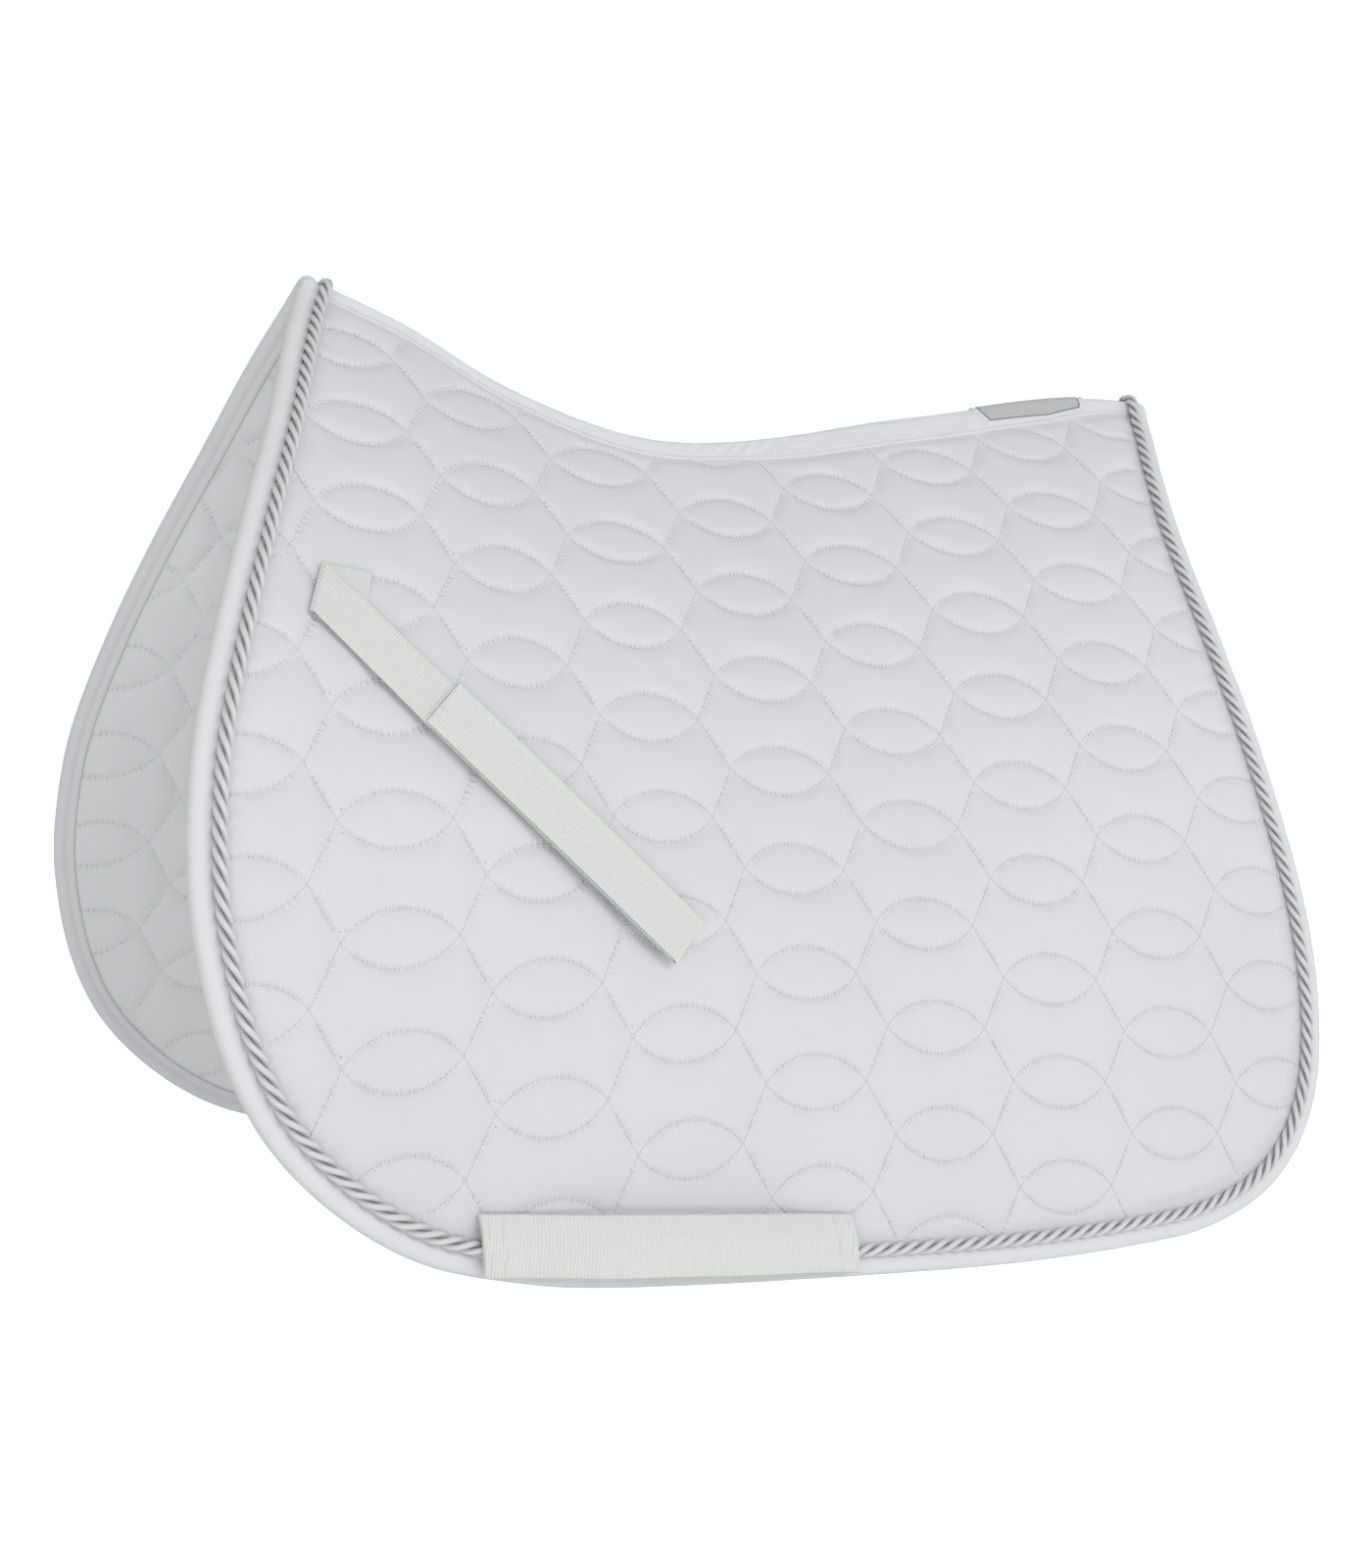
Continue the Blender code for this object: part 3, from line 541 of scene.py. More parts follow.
def quilt_face(edge, cell, kind):
    """One face of the quilted panel as points, faces, uv and facts, puffed between its stitch lines."""
    p = np.arange(-0.385, 0.385, cell)
    r = np.arange(-0.115, 0.585, cell)
    p, r = np.meshgrid(p, r, indexing="ij")
    to_p, to_r, gap, run = stitch_field(p, r)
    on_line = gap < 0.5 * cell
    p = p + np.where(on_line, to_p, 0)
    r = r + np.where(on_line, to_r, 0)
    gap = np.where(on_line, 0.0, gap)
    x, q = from_lattice(p, r)
    base, normal = drape(x, q)

    inside, closest = edge.inside(base)

    pressed = 1 - smoothstep(from_strap(x, q), *PRESS_REACH)
    puff = PUFF_LOW + (PUFF_TOP - PUFF_LOW) * (1 - smoothstep(q, 0.03, 0.40))
    puff = puff * (1 - PRESS * pressed)
    puff = puff * (1 + 0.10 * waves(p, r, 0.12, 3))
    swell = inflate(on_line, cell)
    height = puff * (CRISP * (1 - np.exp(-gap / PUFF_REACH)) + (1 - CRISP) * swell)
    height = settle(height, on_line, 2)
    height += 0.20 * MM * waves(p, r, 0.030, 5) * smoothstep(gap, 0.003, 0.012)

    gather = bell(inside, GATHER_IN, GATHER_REACH) * waves(edge.run[closest], 0.0 * q, 12.0 * MM, 7)
    if kind == "shell":
        free_top = smoothstep(q - tape_lap(x), -1.0 * MM, 10.0 * MM)
        height = height * smoothstep(inside, *SHELL_FREE) * free_top
        height += SHELL_SEAT + 0.35 * MM * gather * free_top
    else:
        boxed = smoothstep(in_box(x, base[..., 2]), -8.0 * MM, 1.0 * MM)
        seat = (LINING_SEAT - height * LINING_DEPTH) * (1 - boxed) + LINING_LOW * boxed
        free = smoothstep(inside, *LINING_FREE) * smoothstep(q, 15.0 * MM, 27.0 * MM)
        height = LINING_LOW * (1 - free) + seat * free - 0.3 * MM * gather

    points = base + height[..., None] * normal
    tuck = np.clip(PANEL_FROM - inside, 0, cell)[..., None]
    points = points + tuck * edge.inward[closest]
    keep = (inside > PANEL_FROM - cell) & (q > (SHELL_TOP if kind == "shell" else LINING_TOP))
    faces = grid_faces(*p.shape)
    faces = faces[keep.ravel()[faces].all(axis=1)]
    used, faces = np.unique(faces, return_inverse=True)
    faces = faces.reshape(-1, 4)
    pick = lambda values: values.reshape(len(p.ravel()), -1)[used]
    uv = np.concatenate([pick(p), pick(r)], axis=1)
    calm = CALM_GAP * (1 - smoothstep(from_tips(p, r), *TIP_CALM))
    facts = {"stitch_gap": pick(np.maximum(gap, calm))[:, 0], "stitch_run": pick(run)[:, 0]}
    if kind == "shell":
        faces = faces[:, ::-1]
    return pick(points), faces, uv, facts


def stitch_lines():
    """The quilting's stitch lines, as lattice points."""
    arc = np.linspace(-1, 1, 60) * math.asin(HALF_LENS / ARC_RADIUS)
    lines = []
    for column in COLUMNS:
        shift = 0.5 * (column % 2)
        for row in ROWS:
            centre = np.array([LATTICE_P0 + column * COLUMN_PITCH, LATTICE_Q0 + (row + shift) * ROW_PITCH])
            for way in (-1, 1):
                rise = way * (ARC_RADIUS * np.cos(arc) - ARC_CENTRE)
                lens = np.stack([ARC_RADIUS * np.sin(arc), rise], axis=1)
                slant = np.linspace([HALF_LENS, 0], [HALF_LENS + SLANT[0], way * SLANT[1]], 20)
                lines += [centre + lens, centre + slant]
    return lines


def thread_beads(places, along, normal, length, width):
    """Small spindles of thread lying along a seam."""
    across = np.cross(normal, along)
    points, faces = [], []
    for share, girth in ((-1, 0.35), (0, 1.0), (1, 0.35)):
        for turn in range(4):
            angle = math.pi * (turn / 2 + 0.25)
            ring = across * math.cos(angle) + normal * math.sin(angle)
            points.append(places + along * share * length / 2 + ring * girth * width / 2)
    points = np.stack(points, axis=1)
    template = np.concatenate([grid_faces(3, 4, closed=True), [[0, 1, 2, 3], [11, 10, 9, 8]]])
    starts = 12 * np.arange(len(places))[:, None, None]
    faces = (template[None] + starts).reshape(-1, 4)
    return points.reshape(-1, 3), faces


def quilt_stitches(edge, inner_edge, height, way):
    """Stitches of the quilting on one face of the panel, left out under the trims."""
    rows = []
    for line in stitch_lines():
        x, q = from_lattice(line[:, 0], line[:, 1])
        if q.max() < 0 or q.min() > 0.6 or abs(x).max() > 0.40:
            continue
        seam, _ = drape(x, q)
        track = evenly(np.concatenate([seam, x[:, None], q[:, None]], axis=1), STITCH_PITCH)[:, :5]
        centre = (track[1:] + track[:-1]) / 2
        step = unit(track[1:, :3] - track[:-1, :3])
        places, normals = drape(centre[:, 3], centre[:, 4], height)
        clear = (edge.inside(places)[0] > inner_edge) & (centre[:, 4] > tape_lap(places[:, 0]) + 1.2 * MM)
        rows.append([v[clear] for v in (places, step, normals * way)])
    return thread_beads(*(np.concatenate(v) for v in zip(*rows)), STITCH_LENGTH, STITCH_WIDTH)


# ---- Trims

def swept(edge, section, flutter):
    """A closed strip of one cross-section, as (distance in, height) points, all along the edge."""
    section = np.asarray(section)
    inward, outward = section[:, 0, None], section[:, 1, None]
    rows = edge.base[:, None] + edge.inward[:, None] * inward + edge.normal[:, None] * outward + flutter
    girth = np.concatenate([[0], np.cumsum(np.linalg.norm(np.diff(section, axis=0), axis=1))])
    uv = np.stack(np.broadcast_arrays(edge.run[:, None], girth[None]), axis=-1).reshape(-1, 2)
    return rows.reshape(-1, 3), tube_faces(*rows.shape[:2]), uv


BINDING_OUTSIDE = np.array([
    (12.6, 0.5), (10.2, 0.9), (8.2, 1.9), (5.6, 2.5), (3.0, 2.0), (0.9, 0.5), (-0.1, -2.4), (0.9, -5.2),
    (3.0, -6.9), (5.4, -7.3), (7.4, -6.6), (8.5, -6.0), (9.4, -6.6), (11.0, -7.0), (12.4, -6.7),
    (12.9, -6.0),
]) * MM
BINDING_INSIDE = np.array([
    (12.2, -5.4), (6.0, -5.4), (2.4, -5.0), (1.3, -3.9), (1.3, -1.2), (2.4, -0.2), (6.0, 0.0), (12.0, 0.1),
]) * MM


def edge_binding(edge):
    outside = evenly(smooth_curve(BINDING_OUTSIDE, 8), 1.1 * MM)
    section = np.concatenate([outside, BINDING_INSIDE])
    run = edge.run[:, None]
    round_section = np.linspace(0, 1, len(section))[None]
    swell = 0.16 * MM * waves(run, round_section * 0.02, 0.016, 11)
    swell += 0.12 * MM * waves(run, round_section * 0.01, 0.006, 12)
    calm = np.sin(np.pi * np.clip(round_section * len(section) / len(outside), 0, 1))
    flutter = edge.normal[:, None] * (swell * calm)[..., None]
    return swept(edge, section, flutter)


def rope(edge):
    """The strands, laid round each other."""
    centre = edge.line(ROPE_IN, ROPE_HEIGHT)
    track = evenly(np.concatenate([centre, edge.inward, edge.normal], axis=1), 1.65 * MM)
    centre, inward, normal = track[:, :3], unit(track[:, 3:6]), unit(track[:, 6:])
    run = np.concatenate([[0], np.cumsum(np.linalg.norm(np.diff(centre, axis=0), axis=1))])
    lead = 2 * run[-1] / round(2 * run[-1] / ROPE_LEAD)
    around = 2 * math.pi * np.arange(STRAND_SIDES) / STRAND_SIDES
    points, faces, uv, crest = [], [], [], []
    for strand in range(STRANDS):
        angle = 2 * math.pi * (strand / STRANDS - run / lead) + math.pi / 2
        middle = centre + STRAND_ORBIT * (inward * np.cos(angle)[:, None] + normal * np.sin(angle)[:, None])
        ring = inward[:, None] * np.cos(around)[:, None] + normal[:, None] * np.sin(around)[:, None]
        rows = middle[:, None] + STRAND_RADIUS * ring
        start = sum(len(v) for v in points)
        points.append(rows.reshape(-1, 3))
        faces += tube_faces(len(rows), STRAND_SIDES, start)
        uv.append(np.stack(np.broadcast_arrays(run[:, None], around[None]), axis=-1).reshape(-1, 2))
        # crest: 1 where a strand faces out from the rope's middle, -1 where it faces in; the cord's finish
        # paints shade where it faces in
        crest.append(np.cos(around[None] - angle[:, None]).ravel())
    return np.concatenate(points), faces, np.concatenate(uv), {"crest": np.concatenate(crest)}


# ---- Webbing and tapes

def banded(outer, inner, u, v):
    """A closed band between two grids of points, as points, faces and uv."""
    rows, columns = outer.shape[:2]
    count = rows * columns
    index = np.arange(count).reshape(rows, columns)
    rim = np.concatenate([index[:-1, 0], index[-1, :-1], index[:0:-1, -1], index[0, :0:-1]])
    after = np.roll(rim, -1)
    quads = grid_faces(rows, columns)
    walls = np.stack([after, rim, rim + count, after + count], axis=1)
    faces = np.concatenate([quads, quads[:, ::-1] + count, walls])
    across = np.cross(outer[1:, :-1] - outer[:-1, :-1], outer[:-1, 1:] - outer[:-1, :-1])
    if np.sum(across * (outer - inner)[:-1, :-1]) < 0:
        faces = faces[:, ::-1]
    uv = np.tile(np.stack([u.ravel(), v.ravel()], axis=1), (2, 1))
    return np.concatenate([outer.reshape(-1, 3), inner.reshape(-1, 3)]), faces, uv


def stops(length, step):
    """Places along a length, about even, and closer together at its ends."""
    middle = np.linspace(RIM, length - RIM, max(2, round((length - 2 * RIM) / step) + 1))
    return np.concatenate([[0.0, 0.25 * RIM], middle, [length - 0.25 * RIM, length]])


def rounding(place, length):
    """From 0 at the ends of a length up to 1 a rim's width inside them."""
    depth = np.clip(np.minimum(place, length - place) / RIM, 0.0, 1.0)
    return np.sqrt(1 - (1 - depth) ** 2)


def webbing(place, length, width, thick, ribs=1.0, smooth_band=None, hem=0.0, seams=(), fold=False):
    """A woven band; place gives its points from distances along and across it and a height."""
    along, across = np.meshgrid(stops(length, RIB_PITCH / 5), stops(width, GRID), indexing="ij")
    flat = place(along, across, 0.0)
    middle = flat[:, flat.shape[1] // 2]
    heading = unit(middle[-1] - middle[0])
    forward = np.sum((flat - middle[0]) * heading, axis=-1)
    to_side = np.minimum(across, width - across)
    selvedge = bell(to_side, 0, SELVEDGE)
    rib = np.cos(2 * math.pi * forward / RIB_PITCH) * ribs
    side = np.where(across < width / 2, -1.0, 1.0)
    sides = across + side * selvedge * LOOPS_OUT * rib
    depth = RIB_DEPTH * rib * (1 - 0.4 * selvedge)
    if smooth_band is not None:
        flatness = 1 - smoothstep(across, smooth_band - 0.8 * MM, smooth_band + 0.3 * MM)
        depth = depth * (1 - 0.85 * flatness) + SMOOTH_RISE * flatness
    edge = rounding(along, length) * rounding(across, width)
    uneven = UNEVENNESS * waves(along, across, 9.0 * MM, 21)
    top = thick * (0.4 + 0.6 * edge) + depth + uneven
    to_end = np.minimum(along, length - along)
    if fold:
        turned = 1 - smoothstep(along, FOLD_BAND - 0.6 * MM, FOLD_BAND + 0.4 * MM)
        slant = np.cos(2 * math.pi * (along * 0.75 + across * 0.55) / RIB_PITCH)
        top = top + turned * RIB_DEPTH * (slant - rib) + FOLD_RISE * turned * edge
    if hem:
        top = top + HEM_STEP * (1 - smoothstep(to_end, hem, hem + 0.6 * MM)) * edge
    for seam in seams:
        top = top - SEAM_GROOVE * bell(to_end, seam, 0.8 * MM) * edge
    return banded(place(along, sides, top), flat, forward, across)


def pile(place, length, width, seed):
    """A strip of hook or loop pile."""
    along, across = np.meshgrid(stops(length, GRID), stops(width, GRID), indexing="ij")
    fuzz = np.random.default_rng(seed).uniform(-1, 1, along.shape) * 0.10 * MM
    edge = rounding(along, length) * rounding(across, width)
    top = PILE_THICK * (0.5 + 0.4 * edge) + fuzz * edge
    return banded(place(along, across, top), place(along, across, 0.0), along, across)


def thread_row(points, normals, pitch, length, width):
    """Stitches along a line of points, with the outward normals there."""
    track = evenly(np.concatenate([points, normals], axis=1), pitch)
    middle = (track[1:] + track[:-1]) / 2
    heading = unit(track[1:, :3] - track[:-1, :3])
    return thread_beads(middle[:, :3], heading, unit(middle[:, 3:]), length, width)


def joined(parts):
    """Several meshes, given as points and faces, as one."""
    points, faces, start = [], [], 0
    for part in parts:
        points.append(part[0])
        faces.append(np.asarray(part[1]) + start)
        start += len(part[0])
    return np.concatenate(points), np.concatenate(faces)


def tape_lap(x):
    """How far down the cloth the tape over the spine reaches."""
    return np.interp(x, *zip(*TAPE_LAP))


def tape_crown(x, down):
    """The extra height of the tape where it rolls over the ridge."""
    return (TAPE_CREST - TAPE_HEIGHT) * (1 - smoothstep(down, -0.5 * CREST_ARC, tape_lap(x) - TAPE_SEAM_IN))


def met_in_middle(levels, x, down):
    """A band whose first column lies in the middle plane, where the other half meets it."""
    for level in levels:
        level[:, 0, 1] = 0.0
    return banded(*levels, x, down)


def spine_tape(outside):
    """The far half of the tape over the spine, or of the one under it."""
    share = np.concatenate([np.linspace(0, 0.86, 20), np.linspace(0.89, 1.0, 7)])
    run = np.linspace(0, 1, 330)
    run, share = np.meshgrid(run, share, indexing="ij")
    rough_x = SPINE_FRONT + run * (SPINE_REAR - SPINE_FRONT)
    lap = tape_lap(rough_x) if outside else INNER_TAPE_LAP
    start = -CREST_ARC if outside else -INNER_TAPE_HEIGHT / math.tan(RIDGE_ANGLE)
    down = start + share * (lap - start)
    below = np.maximum(down, 0.0)
    front = SPINE_FRONT + TAPE_END_IN - EDGE_LEAN_FRONT * below
    rear = SPINE_REAR - TAPE_END_IN - EDGE_LEAN_REAR * below
    x = front + run * (rear - front)
    if not outside:
        thick = 0.9 * MM * (0.3 + 0.7 * (share < 1))
        levels = [drape(x, down, INNER_TAPE_HEIGHT - t)[0] for t in (thick, 0.0)]
    else:
        height = TAPE_HEIGHT + tape_crown(x, down)
        to_edge = lap - down
        height -= TAPE_GROOVE * bell(to_edge, TAPE_SEAM_IN, 0.7 * MM)
        height -= TAPE_THINNING * (1 - smoothstep(to_edge, 0.0, 2.5 * TAPE_SEAM_IN))
        height *= 0.35 + 0.65 * np.sqrt(np.clip(to_edge / (0.7 * MM), 0, 1))
        free = smoothstep(to_edge, 3.5 * MM, 7.0 * MM) * smoothstep(down, -CREST_ARC, 2.0 * MM)
        dip = bell(x, 10.0 * MM, 75.0 * MM)
        height += dip * free * TAPE_CRUMPLE * waves((x + 0.9 * down) * 2.2, down * 0.25, 16.0 * MM, 31)
        height += free * TAPE_WAVE * waves(x, down, 18.0 * MM, 32)
        height += TAPE_FINE_WAVE * waves(x, down, 6.0 * MM, 33) * smoothstep(to_edge, 0.0, 1.5 * MM)
        levels = [over_crest(x, down, height), over_crest(x, down, 0.15 * MM)]
    return met_in_middle(levels, x, down)


def tape_seam():
    """The row of stitches along the tape's lower edge."""
    x = np.linspace(SPINE_FRONT + TAPE_END_IN - 4 * MM, SPINE_REAR - TAPE_END_IN - 2 * MM, 400)
    down = tape_lap(x) - TAPE_SEAM_IN
    points, normals = drape(x, down, TAPE_HEIGHT - 0.30 * MM)
    return thread_row(points, normals, SEAM_PITCH, 2.2 * MM, 0.75 * MM)


def badge_plate(outline, low, high, inset_rim):
    """Half of a plate bent over the spine: the outline is given from its front end to its rear end."""
    outline = np.array(outline)
    run = np.linspace(0, 1, 90)
    share = np.concatenate([np.linspace(0, 0.9, 14), np.linspace(0.93, 1.0, 5)])
    run, share = np.meshgrid(run, share, indexing="ij")
    x = outline[0, 0] + run * (outline[-1, 0] - outline[0, 0])
    reach = np.interp(x, outline[:, 0], outline[:, 1])
    down = -CREST_ARC + share * (reach + CREST_ARC)
    to_end = np.minimum(x - outline[0, 0], outline[-1, 0] - x)
    to_edge = np.minimum((1 - share) * (reach + CREST_ARC), to_end)
    edge = np.sqrt(np.clip(to_edge / (0.7 * MM), 0, 1))
    crown = tape_crown(x, down)
    top = high * (0.5 + 0.5 * edge)
    if inset_rim:
        top = top + BADGE_RIDGE * bell(to_edge, inset_rim, 0.6 * MM)
    levels = [over_crest(x, down, crown + top), over_crest(x, down, crown + low)]
    return met_in_middle(levels, x, down)


# ---- Girth strap

def at(place, height=0.0):
    """A point of the far flap, and its normal, from its x and z."""
    return drape(*cloth_place(*place), height)


def raised(points, height, normal):
    """Points moved by a height along a normal."""
    return points + np.broadcast_to(height, points.shape[:-1])[..., None] * normal


class Strap:
    """The webbing strap: its first stretch runs down from the fold, the second lies flat to the tip."""

    def __init__(self):
        self.start, self.tip = at(TAIL_END)[0], at(STRAP_TIP)[0]
        self.along = unit(self.tip - self.start)
        _, normal = at((np.array(TAIL_END) + STRAP_TIP) / 2)
        self.normal = unit(normal - self.along * np.dot(normal, self.along))
        self.across = np.cross(self.normal, self.along)
        self.top, self.fold_normal = at(FOLD_TOP, STRAP_START_HEIGHT)
        self.low = at(FOLD_BOTTOM, STRAP_START_HEIGHT)[0]
        if np.dot(self.low - self.top, self.across) < 0:
            self.across = -self.across
        self.first = np.linalg.norm(self.start + self.normal * STRAP_HEIGHT - (self.top + self.low) / 2)
        self.second = np.linalg.norm(self.tip - self.start)

    def flat(self, level, width, start=0.0):
        """A place function for a layer over the flat stretch."""
        def place(along, across, height):
            way = (across - width / 2)[..., None] * self.across + (along + start)[..., None] * self.along
            return raised(self.start + way, level + height, self.normal)
        return place

    def strap(self, along, across, height):
        share = np.clip(along / self.first, 0, 1)[..., None]
        side = (across / WEBBING_WIDTH)[..., None]
        fold = self.top + side * (self.low - self.top)
        end = self.start + (side - 0.5) * WEBBING_WIDTH * self.across + STRAP_HEIGHT * self.normal
        normal = unit(self.fold_normal * (1 - share) + self.normal * share)
        past = np.maximum(along - self.first, 0)[..., None]
        base = fold + share * (end - fold) + past * self.along
        return raised(base, height, normal)

    def tail(self, along, across, height):
        """From the tail's end down to the tip, and round it."""
        past = np.maximum(along - self.second, 0)
        radius = TAIL_LEVEL - TIP_LEVEL
        turn = past / (radius + WEBBING_THICK / 2)
        bow = 0.5 * MM * np.sin(math.pi * np.clip(along / self.second, 0, 1))
        out = (radius + height) * np.cos(turn) + TIP_LEVEL + bow
        forth = np.minimum(along, self.second) + (radius + height) * np.sin(turn)
        way = (across - TAIL_WIDTH / 2)[..., None] * self.across + forth[..., None] * self.along
        return self.start + way + out[..., None] * self.normal

    def stub(self, along, across, height):
        side = (across / WEBBING_WIDTH)[..., None]
        lift = STUB_HEIGHT - STRAP_START_HEIGHT
        top, low = self.top + lift * self.fold_normal, self.low + lift * self.fold_normal
        forward = np.array([1.0, 0.0, 0.0])
        forward = unit(forward - self.fold_normal * np.dot(forward, self.fold_normal))
        length = STUB_TOP_LENGTH + side * (STUB_LOW_LENGTH - STUB_TOP_LENGTH)
        base = top + side * (low - top) + forward * length * (along / STUB_TOP_LENGTH)[..., None]
        return raised(base, height, self.fold_normal)

    def fold(self):
        """The bend where the strap turns over its stub, round the joint's axis."""
        top, low = (at(p, FOLD_HEIGHT)[0] for p in (FOLD_TOP, FOLD_BOTTOM))
        axis = unit(low - top)
        length = np.linalg.norm(low - top)
        out = np.cross(axis, self.fold_normal)
        along = stops(length, 0.5 * MM)
        turn = 2 * math.pi * np.arange(FOLD_SIDES) / FOLD_SIDES
        along, turn = np.meshgrid(along, turn, indexing="ij")
        radius = FOLD_RADIUS * (0.55 + 0.45 * rounding(along, length))
        radius = radius + 0.07 * MM * np.cos(2 * math.pi * along / (0.75 * RIB_PITCH))
        ring = np.cos(turn)[..., None] * self.fold_normal + np.sin(turn)[..., None] * out
        rows = top + along[..., None] * axis + radius[..., None] * ring
        uv = np.stack([along.ravel(), turn.ravel() * FOLD_RADIUS], axis=1)
        return rows.reshape(-1, 3), tube_faces(*rows.shape[:2]), uv


def box_seam(place, along, across, height, pitch):
    """Stitches round a rectangle of a band, with a cross inside it."""
    (a, b), (c, d) = along, across
    lines = [((a, c), (b, c)), ((b, c), (b, d)), ((b, d), (a, d)), ((a, d), (a, c))]
    lines += [((a, c), (b, d)), ((a, d), (b, c))]
    return joined([band_seam(place, first, last, height, pitch) for first, last in lines])


def band_seam(place, first, last, height, pitch=2.6 * MM):
    """A row of stitches on a band between two of its places."""
    share = np.linspace(0, 1, 40)
    along = first[0] + share * (last[0] - first[0])
    across = first[1] + share * (last[1] - first[1])
    points = place(along, across, height)
    normals = unit(place(along, across, height + MM) - points)
    return thread_row(points, normals, pitch, *BAND_STITCH)


# ---- Girth keeper

KEEPER_LENGTH = float(np.linalg.norm(at(KEEPER_TOP[1])[0] - at(KEEPER_TOP[0])[0]))


def keeper(along, across, height):
    """A point of the keeper's underside, raised by a height."""
    (x0, z0), (x1, z1) = KEEPER_TOP
    t = along / KEEPER_LENGTH
    u = across / KEEPER_DEPTH
    low, high = KEEPER_FLAT
    rise = smoothstep(u, -0.10, KEEPER_BEND + 0.12)
    lie = KEEPER_UPPER_HEIGHT + (KEEPER_LOWER_HEIGHT - KEEPER_UPPER_HEIGHT) * rise
    bow = smoothstep(t, KEEPER_SEWN, low + 0.05) * smoothstep(1 - t, KEEPER_SEWN, 1.05 - high)
    x = x0 + (x1 - x0) * t
    z = z0 + (z1 - z0) * t - across
    point, normal = drape(*cloth_place(x, z), lie + bow * KEEPER_BOW)
    normal = unit(normal * np.array([1.0, 1.0, 0.35]))
    return raised(point, height, normal)


# ---- Materials

class Finish:
    """A Principled material, with small helpers for its nodes."""

    def __init__(self, name, colour, roughness, sheen=0.0, specular=0.35, **constants):
        self.material = bpy.data.materials.new(name)
        self.material.use_nodes = True
        self.tree = self.material.node_tree
        self.shader = self.tree.nodes["Principled BSDF"]
        values = {"Base Color": (*colour, 1.0), "Roughness": roughness, "Sheen Weight": sheen}
        values["Specular IOR Level"] = specular
        for socket, value in {**values, **constants}.items():
            self.shader.inputs[socket].default_value = value
        self.colour = colour
        self.normal = None

    def add(self, kind, inputs=None, **settings):
        """A node; inputs are values, or sockets to link from."""
        made = self.tree.nodes.new("ShaderNode" + kind)
        for name, value in settings.items():
            setattr(made, name, value)
        for key, value in (inputs or {}).items():
            if isinstance(value, bpy.types.NodeSocket):
                self.tree.links.new(value, made.inputs[key])
            else:
                made.inputs[key].default_value = value
        return made

    def math(self, operation, *values):
        return self.add("Math", dict(enumerate(values)), operation=operation).outputs[0]

    def wave(self, value, period, operation="SINE", shift=None):
        """A wave along a value; shift is added to its angle."""
        angle = self.math("MULTIPLY", value, 2 * math.pi / period)
        return self.math(operation, self.math("ADD", angle, shift) if shift else angle)

    def near(self, value, reach):
        """From 1 where the value is 0, down to 0 at its reach."""
        ends = {"From Max": reach, "To Min": 1.0, "To Max": 0.0}
        return self.add("MapRange", {"Value": value, **ends}).outputs[0]

    def fact(self, name):
        return self.add("Attribute", attribute_name=name).outputs["Fac"]

    def cloth_uv(self):
        return self.add("SeparateXYZ", {0: self.add("UVMap", uv_map="cloth").outputs[0]}).outputs[:2]

    def position(self):
        return self.add("TexCoord").outputs["Object"]

    def noise(self, scale, detail=3.0):
        where = self.position()
        return self.add("TexNoise", {"Vector": where, "Scale": scale, "Detail": detail}).outputs[0]

    def tint(self, amount, low, high):
        """The base colour, from two tones of it mixed by an amount."""
        low, high = ((*(c * k for c, k in zip(self.colour, np.broadcast_to(t, 3))), 1.0) for t in (low, high))
        mixed = self.add("Mix", {"Factor": amount, "A": low, "B": high}, data_type="RGBA")
        self.link("Base Color", mixed.outputs["Result"])

    def bump(self, height, distance, strength):
        """A bump, on top of the bumps before it."""
        values = {"Height": height, "Distance": distance, "Strength": strength}
        if self.normal:
            values["Normal"] = self.normal
        self.normal = self.add("Bump", values).outputs[0]
        self.link("Normal", self.normal)

    def link(self, socket, source):
        self.tree.links.new(source, self.shader.inputs[socket])


def cotton(name, colour, stitched):
    """Fine satin twill, with puckers beside each stitch where it is quilted; there the colour also holds
    painted shade along each stitch line and the puckers' painted light and shade.
    """
    finish = Finish(name, colour, 0.62, sheen=0.22, specular=0.30, **{"Sheen Roughness": 0.5})
    along, down = finish.cloth_uv()
    diagonal = finish.math("ADD", along, finish.math("MULTIPLY", down, 0.6))
    twill = finish.math("MULTIPLY", finish.wave(diagonal, 0.75 * MM), 0.5)
    threads = finish.math("MULTIPLY", finish.wave(down, 0.6 * MM), 0.3)
    weave = finish.math("ADD", finish.math("ADD", twill, threads), finish.noise(900.0, 2.0))
    finish.bump(weave, 0.03 * MM, 0.5)
    finish.bump(finish.noise(60.0), 0.4 * MM, 0.35)
    # the cloth's own tone, varying at random; where it is quilted, painted shade and light are added to it
    # below
    shade = finish.noise(9.0, 4.0)
    if stitched:
        gap = finish.fact("stitch_gap")
        pucker = finish.wave(finish.fact("stitch_run"), STITCH_PITCH, "COSINE")
        pucker = finish.math("MULTIPLY", pucker, finish.near(gap, PUCKER_REACH))
        finish.bump(pucker, 0.4 * MM, 0.9)
        # painted shade: the colour darker within 1.1 mm of each stitch line, where the valleys lie
        shade = finish.math("SUBTRACT", shade, finish.math("MULTIPLY", finish.near(gap, 1.1 * MM), 0.5))
        # painted light and shade: the puckers' bright and dark sides painted into the colour, on top of their
        # bump
        shade = finish.math("ADD", shade, finish.math("MULTIPLY", pucker, 0.7))
    finish.tint(shade, (0.955, 0.955, 0.96), (1.03, 1.03, 1.025))
    return finish.material


